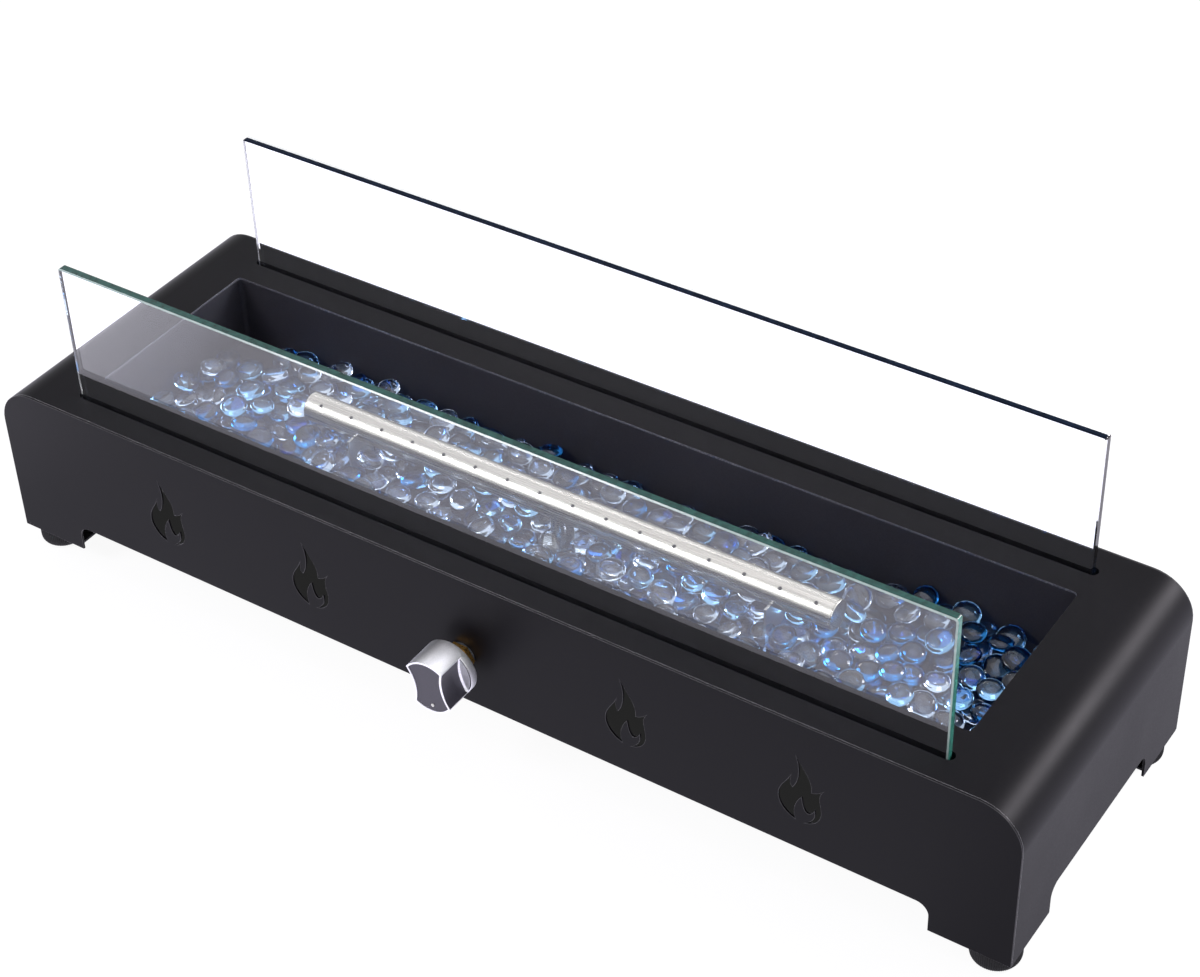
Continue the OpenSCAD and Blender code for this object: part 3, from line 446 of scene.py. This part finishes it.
def rubberFoot(nodeName, look):
    # A disc spun round a vertical axis, r = R(z) - rib * (1 - cos(ribs * a)) / 2, with fine grip
    # ribs on its side that run out into the rounded lower edge and a shallow dish in its sole
    low, high = (np.array(v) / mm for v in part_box(nodeName))
    outer, lower, upper = (high[0] - low[0]) / 2, look["lowerRoundMm"], look["upperRoundMm"]
    dishZ = low[2] + look["dishMm"]
    dishBottom, dishRim = look["dishShares"]
    turn = np.linspace(0, math.pi / 2, look["roundSteps"])
    profile = [(outer * dishBottom, dishZ, 0), (outer * dishRim, low[2], 0)]
    profile += [(outer - lower + lower * math.sin(a), low[2] + lower - lower * math.cos(a), math.sin(a))
                for a in turn]
    profile += [(outer - upper + upper * math.cos(a), high[2] - upper + upper * math.sin(a), math.cos(a))
                for a in turn]
    pointsPerRib = 4
    count = pointsPerRib * look["ribs"]
    angle = np.arange(count) * 2 * math.pi / count
    wave = look["ribMm"] * (1 - np.cos(look["ribs"] * angle)) / 2
    middle = (low + high) / 2
    points = [np.stack([middle[0] + (r - depth * wave) * np.cos(angle),
                        middle[1] + (r - depth * wave) * np.sin(angle), np.full(count, z)], axis=1)
              for r, z, depth in profile]
    tips = [[middle[0], middle[1], dishZ], [middle[0], middle[1], high[2]]]
    points = np.concatenate([*points, tips]) * mm
    ringEnd = len(profile) * count
    faces = [*ringFan(0, count, ringEnd)[:, turnedOver], *ringBands(count, len(profile)),
             *ringFan(ringEnd - count, count, ringEnd + 1)]
    piece = newPiece(nodeName + ".rubber", points, faces, ["mouldedRubber"], smoothAngle=40)
    return settled(piece, [nodeName])


for name in (n for n in nodes if slotOf[n] == "black_rubber" and n.startswith("foot_")):
    rubberFoot(name, foot)
print("feet done")


guard = {
    "cornerMm": 2.0, "arrisMm": 0.8, "cornerSteps": 5,
    # leadMm is where the front part of the edge ends; then come the finishes of front arris, front part of
    # the edge, rest of the edge and rear arris, by the side of the sheet that they run along. Sides that face
    # the light take painted highlights and a painted reflection, sides in shade take painted shade
    "front": {"leadMm": 2.0,
              "top": ("glassArrisPaintedHighlight", "glassTopEdge", "glassTopEdge", "glassTopEdge"),
              "right": ("glassArrisPaintedHighlight", "glassPaintedLitEdge", "glassPaintedLitEdge", "glassTopEdge"),
              "left": ("glassArrisPaintedShade", "glassArrisPaintedShade", "glassFace", "glassFace"),
              "bottom": ("glassTopEdge", "glassTopEdge", "glassTopEdge", "glassTopEdge")},
    "rear": {"leadMm": 3.4,
             "top": ("glassPaintedShadeEdge", "glassPaintedShadeEdge", "glassPaintedReflectionEdge", "glassPaintedReflectionEdge"),
             "right": ("glassFace", "glassFace", "glassFace", "glassArrisPaintedShade"),
             "left": ("glassArrisPaintedShade", "glassArrisPaintedShade", "glassFace", "glassFace"),
             "bottom": ("glassPaintedShadeEdge", "glassPaintedShadeEdge", "glassPaintedShadeEdge", "glassPaintedShadeEdge")},
}
edgeKinds = ["glassFace", "glassTopEdge", "glassPaintedLitEdge", "glassPaintedShadeEdge", "glassPaintedReflectionEdge",
             "glassArrisPaintedHighlight", "glassArrisPaintedShade"]


def windGuard(name, nodeName, sides, look):
    # A profile across the sheet's edge, front arris, edge in two parts and rear arris, is carried
    # round the panel's outline: each point moves in by 0 or by the arris along its own normal
    low, high = (np.array(v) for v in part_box(nodeName))
    corner, arris = look["cornerMm"] * mm, look["arrisMm"] * mm
    turn = np.linspace(0, math.pi / 2, look["cornerSteps"])
    angle = np.concatenate([turn + quarter * math.pi / 2 for quarter in range(4)])
    middle = np.repeat([[high[0], high[2]], [low[0], high[2]], [low[0], low[2]], [high[0], low[2]]],
                       len(turn), axis=0)
    middle = middle - corner * np.sign(middle - [(low[0] + high[0]) / 2, (low[2] + high[2]) / 2])
    outward = np.stack([np.cos(angle), np.sin(angle)], axis=1)
    drawnIn = np.array([arris, 0, 0, 0, arris])
    depth = np.array([low[1], low[1] + arris, low[1] + sides["leadMm"] * mm, high[1] - arris, high[1]])
    rings = middle[None] + outward[None] * (corner - drawnIn)[:, None, None]
    count = len(angle)
    points = np.concatenate([
        np.stack([ring[:, 0], np.full(count, y), ring[:, 1]], axis=1) for ring, y in zip(rings, depth)])
    frontFace = np.arange(count)
    rearFace = (len(depth) - 1) * count + frontFace[::-1]
    faces = [*ringBands(count, len(depth))[:, ::-1], frontFace, rearFace]
    facing = outward + np.roll(outward, -1, axis=0)
    side = np.where(np.abs(facing[:, 1]) > np.abs(facing[:, 0]),
                    np.where(facing[:, 1] > 0, "top", "bottom"),
                    np.where(facing[:, 0] > 0, "right", "left"))
    slots = [edgeKinds.index(sides[s][k]) for k in range(len(depth) - 1) for s in side]
    slots += [edgeKinds.index("glassFace")] * 2
    piece = newPiece(name, points, faces, edgeKinds, slots, smoothAngle=30)
    return settled(piece, [nodeName])


windGuard("front_guard_glass", "glass_front", guard["front"], guard)
windGuard("rear_guard_glass", "glass_rear", guard["rear"], guard)
print("wind guards done")


beads = {
    "seed": 11, "count": 485, "diameterMm": (16.5, 19.5), "oval": (0.94, 1.06), "thickness": 0.5,
    "sides": 12, "ringDegrees": (62, 24, -20, -58), "tiltDegrees": 16,
    # at the start they lie at these heights over the tray's floor. In each step they are pushed
    # apart by a share of what they overlap and sink a little, less and less up to half way
    "startMm": (4, 24), "settleSteps": 130, "push": 0.28, "sinkMm": 0.35,
    # they overlap when they are nearer than this many times their size
    "roomy": 1.03,
    # until this share of the steps the heap's surface holds them down, and in the end those that
    # stand proud of it by more than proudMm are left out
    "lidUntil": 0.9, "proudMm": 2.5,
    # how close they come to the burner, in shares of their own radius
    "tubeRoom": 0.75,
    # how far the heap lies below the case top: by the burner, at the front wall, at the rear
    # wall, and how much further it falls off towards the rear left corner, over the last thinEndMm
    # and from endFrom, as a share of the tray's half width, in front of the burner
    "heapMm": (24, 28, 38, 13), "thinEndMm": 80, "endFrom": 0.1,
    # the share of each colour before and after the stretch of X in which the heap turns bluer: the mix of
    # colours is the beads' own, and its darkening towards the right end is painted shade
    "bluerMm": (180, 280), "cobaltShare": (0.15, 0.50), "paleShare": (0.50, 0.20),
}


def heapShape(look, low, high):
    # A function that gives the height of the heap's surface over each bead
    middle, frontDrop, rearDrop, endDrop = (v * mm for v in look["heapMm"])

    def surface(place):
        across = (place[:, 1] - (low[1] + high[1]) / 2) / ((high[1] - low[1]) / 2)
        drop = middle + np.where(across < 0, -across * (frontDrop - middle), across * (rearDrop - middle))
        endShare = np.clip((low[0] - place[:, 0]) / (look["thinEndMm"] * mm) + 1, 0, 1)
        return lipZ - drop - endShare * np.clip(across + look["endFrom"], 0, 1) * endDrop

    return surface


def settleBeads(look):
    # Beads start as a jittered block and are pushed apart where they overlap, with heights
    # divided by the beads' flatness, so that flat drops pack as balls would. While they sink
    # they stay under the heap's surface, inside the tray walls, above its floor and off the burner
    rng = np.random.default_rng(look["seed"])
    low, high = (np.array(v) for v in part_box("bead_bed"))
    tubeLow, tubeHigh = (np.array(v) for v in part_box("burner_tube"))
    diameter = rng.uniform(*look["diameterMm"], look["count"]) * mm
    half = np.stack([diameter / 2, diameter / 2, diameter * look["thickness"] / 2], axis=1)
    place = rng.uniform(0, 1, (look["count"], 3)) * (high - low) + low
    place[:, 2] = low[2] + rng.uniform(*look["startMm"], look["count"]) * mm
    tubeMiddle = (tubeLow + tubeHigh) / 2
    tubeReach = (tubeHigh[2] - tubeLow[2]) / 2
    stretch = np.array([1, 1, 1 / look["thickness"]])
    apart = (diameter[:, None] + diameter[None]) / 2 * look["roomy"]
    surface = heapShape(look, low, high)
    tiny = 1e-9  # keeps a distance from being zero
    for step in range(look["settleSteps"]):
        done = step / look["settleSteps"]
        even = place * stretch
        distance = np.sqrt(((even[:, None] - even[None]) ** 2).sum(axis=2)) + tiny
        share = np.maximum(0, apart - distance) / distance
        np.fill_diagonal(share, 0)
        place = place + look["push"] * (even * share.sum(axis=1)[:, None] - share @ even) / stretch
        place[:, 2] -= look["sinkMm"] * mm * max(0, 1 - 2 * done)
        if done < look["lidUntil"]:
            place[:, 2] = np.minimum(place[:, 2], surface(place) - half[:, 2])
        fromTube = place[:, 1:] - tubeMiddle[1:]
        reach = np.linalg.norm(fromTube, axis=1) + tiny
        beside = np.abs(place[:, 0] - tubeMiddle[0]) < (tubeHigh[0] - tubeLow[0]) / 2 + half[:, 0]
        room = tubeReach + look["tubeRoom"] * half[:, 0]
        short = np.where(beside, np.maximum(0, room - reach), 0)
        place[:, 1:] += fromTube / reach[:, None] * short[:, None]
        place = np.clip(place, low + half, np.array([high[0], high[1], 1]) - half)
    proud = place[:, 2] + half[:, 2] - surface(place)
    kept = proud < look["proudMm"] * mm
    return place[kept], diameter[kept], rng


def tipped(vectors, axis, tip):
    # Turns each bead's vectors by its own angle about its own level axis
    along = (vectors * axis).sum(axis=2, keepdims=True) * axis
    across = np.cross(np.broadcast_to(axis, vectors.shape), vectors)
    return vectors * np.cos(tip) + across * np.sin(tip) + along * (1 - np.cos(tip))


def beadMesh(look, place, diameter, rng):
    # Each bead is a flat ball, (cos b cos a, cos b sin a, flatness * sin b) / 2, a little oval and
    # tipped about a random level axis; its true normals are (x / A^2, y / B^2, z / C^2)
    sides, rings = look["sides"], len(look["ringDegrees"])
    angle = np.arange(sides) * 2 * math.pi / sides
    rise = np.radians(look["ringDegrees"])[:, None]
    ball = np.stack([np.cos(rise) * np.cos(angle), np.cos(rise) * np.sin(angle),
                     np.sin(rise) + 0 * angle], axis=2).reshape(-1, 3)
    ball = np.concatenate([ball, [[0, 0, 1], [0, 0, -1]]])
    count = len(place)
    oval = rng.uniform(*look["oval"], (count, 1, 3)) * [0.5, 0.5, look["thickness"] / 2]
    tip = np.radians(np.abs(rng.normal(0, look["tiltDegrees"], count)))[:, None, None]
    heading = rng.uniform(0, 2 * math.pi, count)
    axis = np.stack([np.cos(heading), np.sin(heading), np.zeros(count)], axis=1)[:, None]
    points = tipped(ball[None] * oval * diameter[:, None, None], axis, tip) + place[:, None]
    normals = tipped(ball[None] / oval, axis, tip)
    normals = normals / np.linalg.norm(normals, axis=2, keepdims=True)
    ringEnd = rings * sides
    faces = [*ringFan(0, sides, ringEnd), *ringBands(sides, rings)[:, ::-1],
             *ringFan(ringEnd - sides, sides, ringEnd + 1)[:, turnedOver]]
    return points.reshape(-1, 3), normals.reshape(-1, 3), faces, len(ball)


def glassBeads(look):
    # Random picks make cobalt, pale and sky blue beads, with more of the dark cobalt towards the right end as
    # painted shade, and one mesh holds all of a colour
    place, diameter, rng = settleBeads(look)
    stretchX = np.array(look["bluerMm"]) * mm
    pick = rng.uniform(0, 1, len(place))
    cobalt = pick < np.interp(place[:, 0], stretchX, look["cobaltShare"])
    pale = pick > 1 - np.interp(place[:, 0], stretchX, look["paleShare"])
    kinds = {"cobaltBeadGlass": cobalt, "paleBeadGlass": pale, "skyBeadGlass": ~(cobalt | pale)}
    for finish, chosen in kinds.items():
        points, normals, faces, perBead = beadMesh(look, place[chosen], diameter[chosen], rng)
        everyFace = [face + k * perBead for k in range(int(chosen.sum())) for face in faces]
        piece = newPiece(finish.replace("Glass", "s"), points, everyFace, [finish], smoothAngle=180)
        piece.data.normals_split_custom_set_from_vertices(normals.tolist())
        settled(piece, ["glass_beads", "bead_bed"])
    print("beads:", len(place), "highest at", round(place[:, 2].max(), 4))


glassBeads(beads)


knob = {
    "leanDegrees": 10, "scoopRadiusMm": 30, "waistMm": 20.6, "flangeMm": 5.5, "rimMm": 1.2,
    "recessMm": 0.5, "roundMm": 0.35, "boreMm": 3.05, "boreDepthMm": 15, "cornerSoftness": 5.0,
    # the polished lines where the scoops meet the flange: their width, how far below the flange's
    # height their first ring lies, and how much higher each next ring does
    "lineMm": 1.0, "lineSinkMm": 0.08, "lineRiseMm": 0.03,
    # the grip's points round each corner, in degrees from it, and for the stretches between two
    # corners how many degrees they keep away and how many points each has
    "cornerDegrees": (-3, -2, -1.2, -0.6, 0, 0.6, 1.2, 2, 3), "cornerGap": 5, "stretchSteps": 14,
    # the recess narrows by this much, and a scoop begins this far inside the knob's circle
    "draftMm": 0.05, "scoopStartMm": 0.35,
}


def gripRadius(angle, outer, scoopRadius, waist, inset, softness):
    # Distance from the axis to the grip's outline: the nearer of the knob's circle and the scoop's,
    # r = c cos a - sqrt(s^2 - (c sin a)^2), joined by a soft minimum, -ln(e^-kx + e^-ky) / k
    centre = waist / 2 + scoopRadius
    reach = scoopRadius + inset
    farOut = outer * 3
    under = reach ** 2 - (centre * np.sin(angle)) ** 2
    scoop = np.where(under > 0, centre * np.abs(np.cos(angle)) - np.sqrt(np.maximum(under, 0)), farOut)
    scoop = np.minimum(scoop, farOut)
    circle = outer - inset
    return -np.log(np.exp(-softness * (scoop - circle)) + 1) / softness + circle


def gripAngles(outer, look):
    # Angles round the grip, dense at its four corners. A corner is where the knob's circle meets
    # the scoop's, cos a = (c^2 + R^2 - s^2) / (2 R c)
    centre = look["waistMm"] / 2 + look["scoopRadiusMm"]
    corner = math.acos((centre ** 2 + outer ** 2 - look["scoopRadiusMm"] ** 2) / (2 * outer * centre))
    gap, steps = math.radians(look["cornerGap"]), look["stretchSteps"]
    quarter = np.concatenate([np.linspace(0, corner - gap, steps),
                              corner + np.radians(look["cornerDegrees"]),
                              np.linspace(corner + gap, math.pi / 2, steps)])
    allRound = np.concatenate([quarter, math.pi - quarter, math.pi + quarter, 2 * math.pi - quarter])
    return np.unique(np.round(allRound % (2 * math.pi), 6))


def tapKnob(look):
    # Rings of points (radius, distance from the knob's back) round the tap's axis, from the bore
    # out over the flange, up the grip's wall, over its polished rim and into the painted recess
    low, high = (np.array(v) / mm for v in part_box("knob"))
    axisX, axisZ = (low[0] + high[0]) / 2, (low[2] + high[2]) / 2
    outer, length = (high[0] - low[0]) / 2, high[1] - low[1]
    angle = gripAngles(outer, look)
    outline, inside = (gripRadius(angle, outer, look["scoopRadiusMm"], look["waistMm"], inset,
                                  look["cornerSoftness"]) for inset in (0, look["rimMm"]))
    flange, r, line, bore = (look[k] for k in ("flangeMm", "roundMm", "lineMm", "boreMm"))
    bend = 0.3 * r  # the middle of a round lies 0.3 of its radius from the sharp corner
    lineZ = flange - look["lineSinkMm"] + look["lineRiseMm"] * np.arange(4)
    recess = length - look["recessMm"]
    flat = np.ones_like(angle)
    rim = np.maximum(outline, outer - line)
    # after radius and distance come the finishes of the band up to the next ring, in a scoop and
    # beside it
    satin, polished, slate = range(3)
    profile = [
        (flat * bore, look["boreDepthMm"], satin, satin),
        (flat * bore, 0, satin, satin),
        (flat * (outer - r), 0, satin, satin),
        (flat * (outer - bend), bend, satin, satin),
        (flat * outer, r, satin, satin),
        (flat * outer, flange - r, polished, satin),
        (np.maximum(outline, outer - bend), flange - bend, polished, satin),
        (np.maximum(outline, outer - r), lineZ[0], polished, satin),
        (rim, lineZ[1], satin, satin),
        (np.minimum(rim, outline + line), lineZ[2], polished, satin),
        (outline, lineZ[3], polished, satin),
        (outline, flange + line, slate, satin),
        (outline, length - r, polished, polished),
        (outline - bend, length - bend, polished, polished),
        (outline - r, length, polished, polished),
        (inside, length, satin, satin),
        (inside - look["draftMm"], recess, slate, slate),
    ]
    count = len(angle)
    turned = angle + math.radians(look["leanDegrees"])
    points = [np.stack([axisX + radius * np.cos(turned), np.full(count, high[1] - away),
                        axisZ + radius * np.sin(turned)], axis=1) for radius, away, _, _ in profile]
    tips = [[axisX, high[1] - look["boreDepthMm"], axisZ], [axisX, high[1] - recess, axisZ]]
    points = np.concatenate([*points, tips]) * mm
    inScoop = (outline + np.roll(outline, -1)) / 2 < outer - look["scoopStartMm"]
    ringEnd = len(profile) * count
    faces = [*ringFan(0, count, ringEnd)[:, turnedOver], *ringBands(count, len(profile)),
             *ringFan(ringEnd - count, count, ringEnd + 1)]
    slots = [np.full(count, satin)]
    slots += [np.where(inScoop, scooped, beside) for _, _, scooped, beside in profile]
    piece = newPiece("tap_knob_shell", points, faces, ["satinChrome", "polishedChrome", "slatePaint"],
                     np.concatenate(slots), smoothAngle=32)
    return settled(piece, ["knob", "knob_face"])


tapKnob(knob)
print("knob done")


studio = {
    "azimuth": 34.8258, "elevation": 38.6471, "roll": -2.0647,
    "camera": (0.7100, -0.9765, 1.0869), "lensMm": 78.41, "sensorMm": 36,
    # strengths: the sky as it is seen and as it lights, the floor as it is seen and in gloss
    "sky": 1.0, "ambient": 0.55, "floorGlow": 0.93, "floorGloss": 1.42,
    # the sky's strength in gloss, from its left to its right: the X of two directions, two levels
    "skySlope": (-0.66, -0.20, 0.82, 1.16),
    "skyColour": "#fdfdff",
    # the floor's paint, the shadow it keeps inside and outside the shade under the case, and its
    # own light as it is seen and in gloss
    "paint": "#e8e8ea", "keptShadow": ("#08080a", "#5f5f62"), "floorLight": ("#ffffff", "#f3f0ff"),
    # in gloss the floor is brighter in front of the case's left end: from x, to x, by how much,
    # and the y where that begins and ends
    "leftGlow": (-0.37, -0.50, 0.85), "leftGlowDepth": (-0.16, -0.04),
    # and it is dimmer beside the right end: middle x, half width, soft edge and share left
    "endShade": (0.362, 0.0, 0.105, 0.58),
    # the shade under the case: middle and half width along X and Y, its soft edge and share left
    "shade": {"X": (0, 0.33), "Y": (0.0155, 0.0895)}, "shadeSoft": 0.018, "shadeLeft": 0.02,
    "floorHalf": 9.0,
    "lampColour": (0.98, 0.93, 1.0),
}

# Softboxes: place, what they face, size in metres, watts
softboxes = {
    "above": ((0.3, 0.4, 2.4), (0, 0, 0.1), (1.8, 1.4), 8),
    "rightRear": ((1.30, 1.20, 0.95), (0.1, 0, 0.1), (0.7, 0.6), 35),
    "frontLeft": ((-1.07, -1.50, 1.54), (0, 0, 0.1), (0.9, 0.5), 19),
}


def matchedCamera(look):
    # The camera's axes from azimuth, elevation and roll about its own line of sight
    azimuth, elevation, roll = (math.radians(look[k]) for k in ("azimuth", "elevation", "roll"))
    back = Vector((math.sin(azimuth) * math.cos(elevation), -math.cos(azimuth) * math.cos(elevation),
                   math.sin(elevation)))
    level = (-back).cross(Vector((0, 0, 1))).normalized()
    lifted = level.cross(-back)
    right = math.cos(roll) * level + math.sin(roll) * lifted
    up = -math.sin(roll) * level + math.cos(roll) * lifted
    data = bpy.data.cameras.new("camera")
    data.sensor_width = look["sensorMm"]
    data.lens = look["lensMm"]
    camera = bpy.data.objects.new("camera", data)
    bpy.context.scene.collection.objects.link(camera)
    turn = Matrix((right, up, back)).transposed().to_4x4()
    camera.matrix_world = Matrix.Translation(Vector(look["camera"])) @ turn
    bpy.context.scene.camera = camera


def softbox(name, place, aim, size, watts, colour):
    data = bpy.data.lights.new(name, "AREA")
    data.shape = "RECTANGLE"
    data.size, data.size_y = size
    data.energy = watts
    data.color = colour
    lamp = bpy.data.objects.new(name, data)
    bpy.context.scene.collection.objects.link(lamp)
    lamp.location = place
    lamp.rotation_euler = (Vector(aim) - Vector(place)).to_track_quat("-Z", "Y").to_euler()


def seenDirectly(tree):
    # 1 for camera, glossy and transmission rays, 0 for the rays that light the object
    path = addNode(tree, "ShaderNodeLightPath").outputs
    sharp = addNode(tree, "ShaderNodeMath", {"operation": "MAXIMUM"},
                    {0: path["Is Camera Ray"], 1: path["Is Glossy Ray"]}).outputs[0]
    return addNode(tree, "ShaderNodeMath", {"operation": "MAXIMUM"},
                   {0: sharp, 1: path["Is Transmission Ray"]}).outputs[0]


def whiteRoom(look):
    # The world is white to the eye, in gloss and through glass, and dimmer as a light
    world = bpy.data.worlds.new("room")
    bpy.context.scene.world = world
    world.use_nodes = True
    tree = world.node_tree
    tree.nodes.clear()
    fromX, toX, leftLevel, rightLevel = look["skySlope"]
    direction = addNode(tree, "ShaderNodeTexCoord").outputs["Generated"]
    toRight = addNode(tree, "ShaderNodeSeparateXYZ", {}, {"Vector": direction}).outputs["X"]
    slope = addNode(tree, "ShaderNodeMapRange", {
        "From Min": fromX, "From Max": toX, "To Min": leftLevel, "To Max": rightLevel},
        {"Value": toRight}).outputs["Result"]
    glossy = addNode(tree, "ShaderNodeLightPath").outputs["Is Glossy Ray"]
    sky = addNode(tree, "ShaderNodeMapRange", {"To Min": look["sky"]},
                  {"Value": glossy, "To Max": slope}).outputs["Result"]
    level = addNode(tree, "ShaderNodeMapRange", {"To Min": look["ambient"]},
                    {"Value": seenDirectly(tree), "To Max": sky}).outputs["Result"]
    light = addNode(tree, "ShaderNodeBackground", {"Color": linear(look["skyColour"])}, {"Strength": level})
    output = addNode(tree, "ShaderNodeOutputWorld")
    tree.links.new(light.outputs[0], output.inputs["Surface"])


def shaded(tree, coordinate, middle, reach, soft, shareLeft):
    # A shade across one axis: shareLeft where |coordinate - middle| is under reach, which rises
    # smoothly to 1 over the width soft
    away = addNode(tree, "ShaderNodeMath", {"operation": "SUBTRACT", 1: middle}, {0: coordinate}).outputs[0]
    away = addNode(tree, "ShaderNodeMath", {"operation": "ABSOLUTE"}, {0: away}).outputs[0]
    return addNode(tree, "ShaderNodeMapRange", {
        "interpolation_type": "SMOOTHSTEP", "From Min": reach, "From Max": reach + soft,
        "To Min": shareLeft, "To Max": 1.0}, {"Value": away}).outputs["Result"]


def floorInGloss(tree, split, look):
    # The floor's strength in gloss: brighter at the left in front, dimmer beside the right end
    near, far, extra = look["leftGlow"]
    front, back = look["leftGlowDepth"]
    forward = addNode(tree, "ShaderNodeMapRange", {
        "interpolation_type": "SMOOTHSTEP", "From Min": front, "From Max": back,
        "To Min": look["floorGloss"] + extra, "To Max": look["floorGloss"]}, {"Value": split["Y"]})
    leftward = addNode(tree, "ShaderNodeMapRange", {
        "interpolation_type": "SMOOTHSTEP", "From Min": near, "From Max": far,
        "To Min": look["floorGloss"]}, {"Value": split["X"], "To Max": forward.outputs["Result"]})
    beside = shaded(tree, split["X"], *look["endShade"])
    return addNode(tree, "ShaderNodeMath", {"operation": "MULTIPLY"},
                   {0: leftward.outputs["Result"], 1: beside}).outputs[0]


def paintedFloor(look):
    # A white sweep that keeps a faint shadow round the object and a deep shade under the middle
    # of the case, where the vents look down on it
    material, tree, output, place = newMaterial("paintedFloor")
    finishes["paintedFloor"] = material
    split = addNode(tree, "ShaderNodeSeparateXYZ", {}, {"Vector": place}).outputs
    shadeX, shadeY = (
        shaded(tree, split[axis], middle, reach - look["shadeSoft"], look["shadeSoft"], look["shadeLeft"])
        for axis, (middle, reach) in look["shade"].items())
    openShare = addNode(tree, "ShaderNodeMath", {"operation": "MAXIMUM"}, {0: shadeX, 1: shadeY}).outputs[0]
    glossy = addNode(tree, "ShaderNodeLightPath").outputs["Is Glossy Ray"]
    level = addNode(tree, "ShaderNodeMapRange", {"To Min": look["floorGlow"]},
                    {"Value": glossy, "To Max": floorInGloss(tree, split, look)}).outputs["Result"]
    level = addNode(tree, "ShaderNodeMath", {"operation": "MULTIPLY"}, {0: level, 1: openShare}).outputs[0]
    shadow, tint = (
        addNode(tree, "ShaderNodeMix", {"data_type": "RGBA", 6: linear(pair[0]), 7: linear(pair[1])},
                {0: share}).outputs[2]
        for pair, share in ((look["keptShadow"], openShare), (look["floorLight"], glossy)))
    kept = addNode(tree, "ShaderNodeBsdfDiffuse", {}, {"Color": shadow})
    glow = addNode(tree, "ShaderNodeEmission", {}, {"Color": tint, "Strength": level})
    bright = addNode(tree, "ShaderNodeAddShader", {}, {0: kept.outputs[0], 1: glow.outputs[0]})
    paint = addNode(tree, "ShaderNodeBsdfDiffuse", {"Color": linear(look["paint"])})
    surface = addNode(tree, "ShaderNodeMixShader", {},
                      {0: seenDirectly(tree), 1: paint.outputs[0], 2: bright.outputs[0]})
    tree.links.new(surface.outputs[0], output.inputs["Surface"])
    half = look["floorHalf"]
    corners = [[-half, -half, 0], [half, -half, 0], [half, half, 0], [-half, half, 0]]
    newPiece("floor", corners, [(0, 1, 2, 3)], ["paintedFloor"])


matchedCamera(studio)
whiteRoom(studio)
paintedFloor(studio)
for name, (place, aim, size, watts) in softboxes.items():
    softbox(name, place, aim, size, watts, studio["lampColour"])
bpy.context.scene.view_settings.view_transform = "Standard"
print("studio ready")
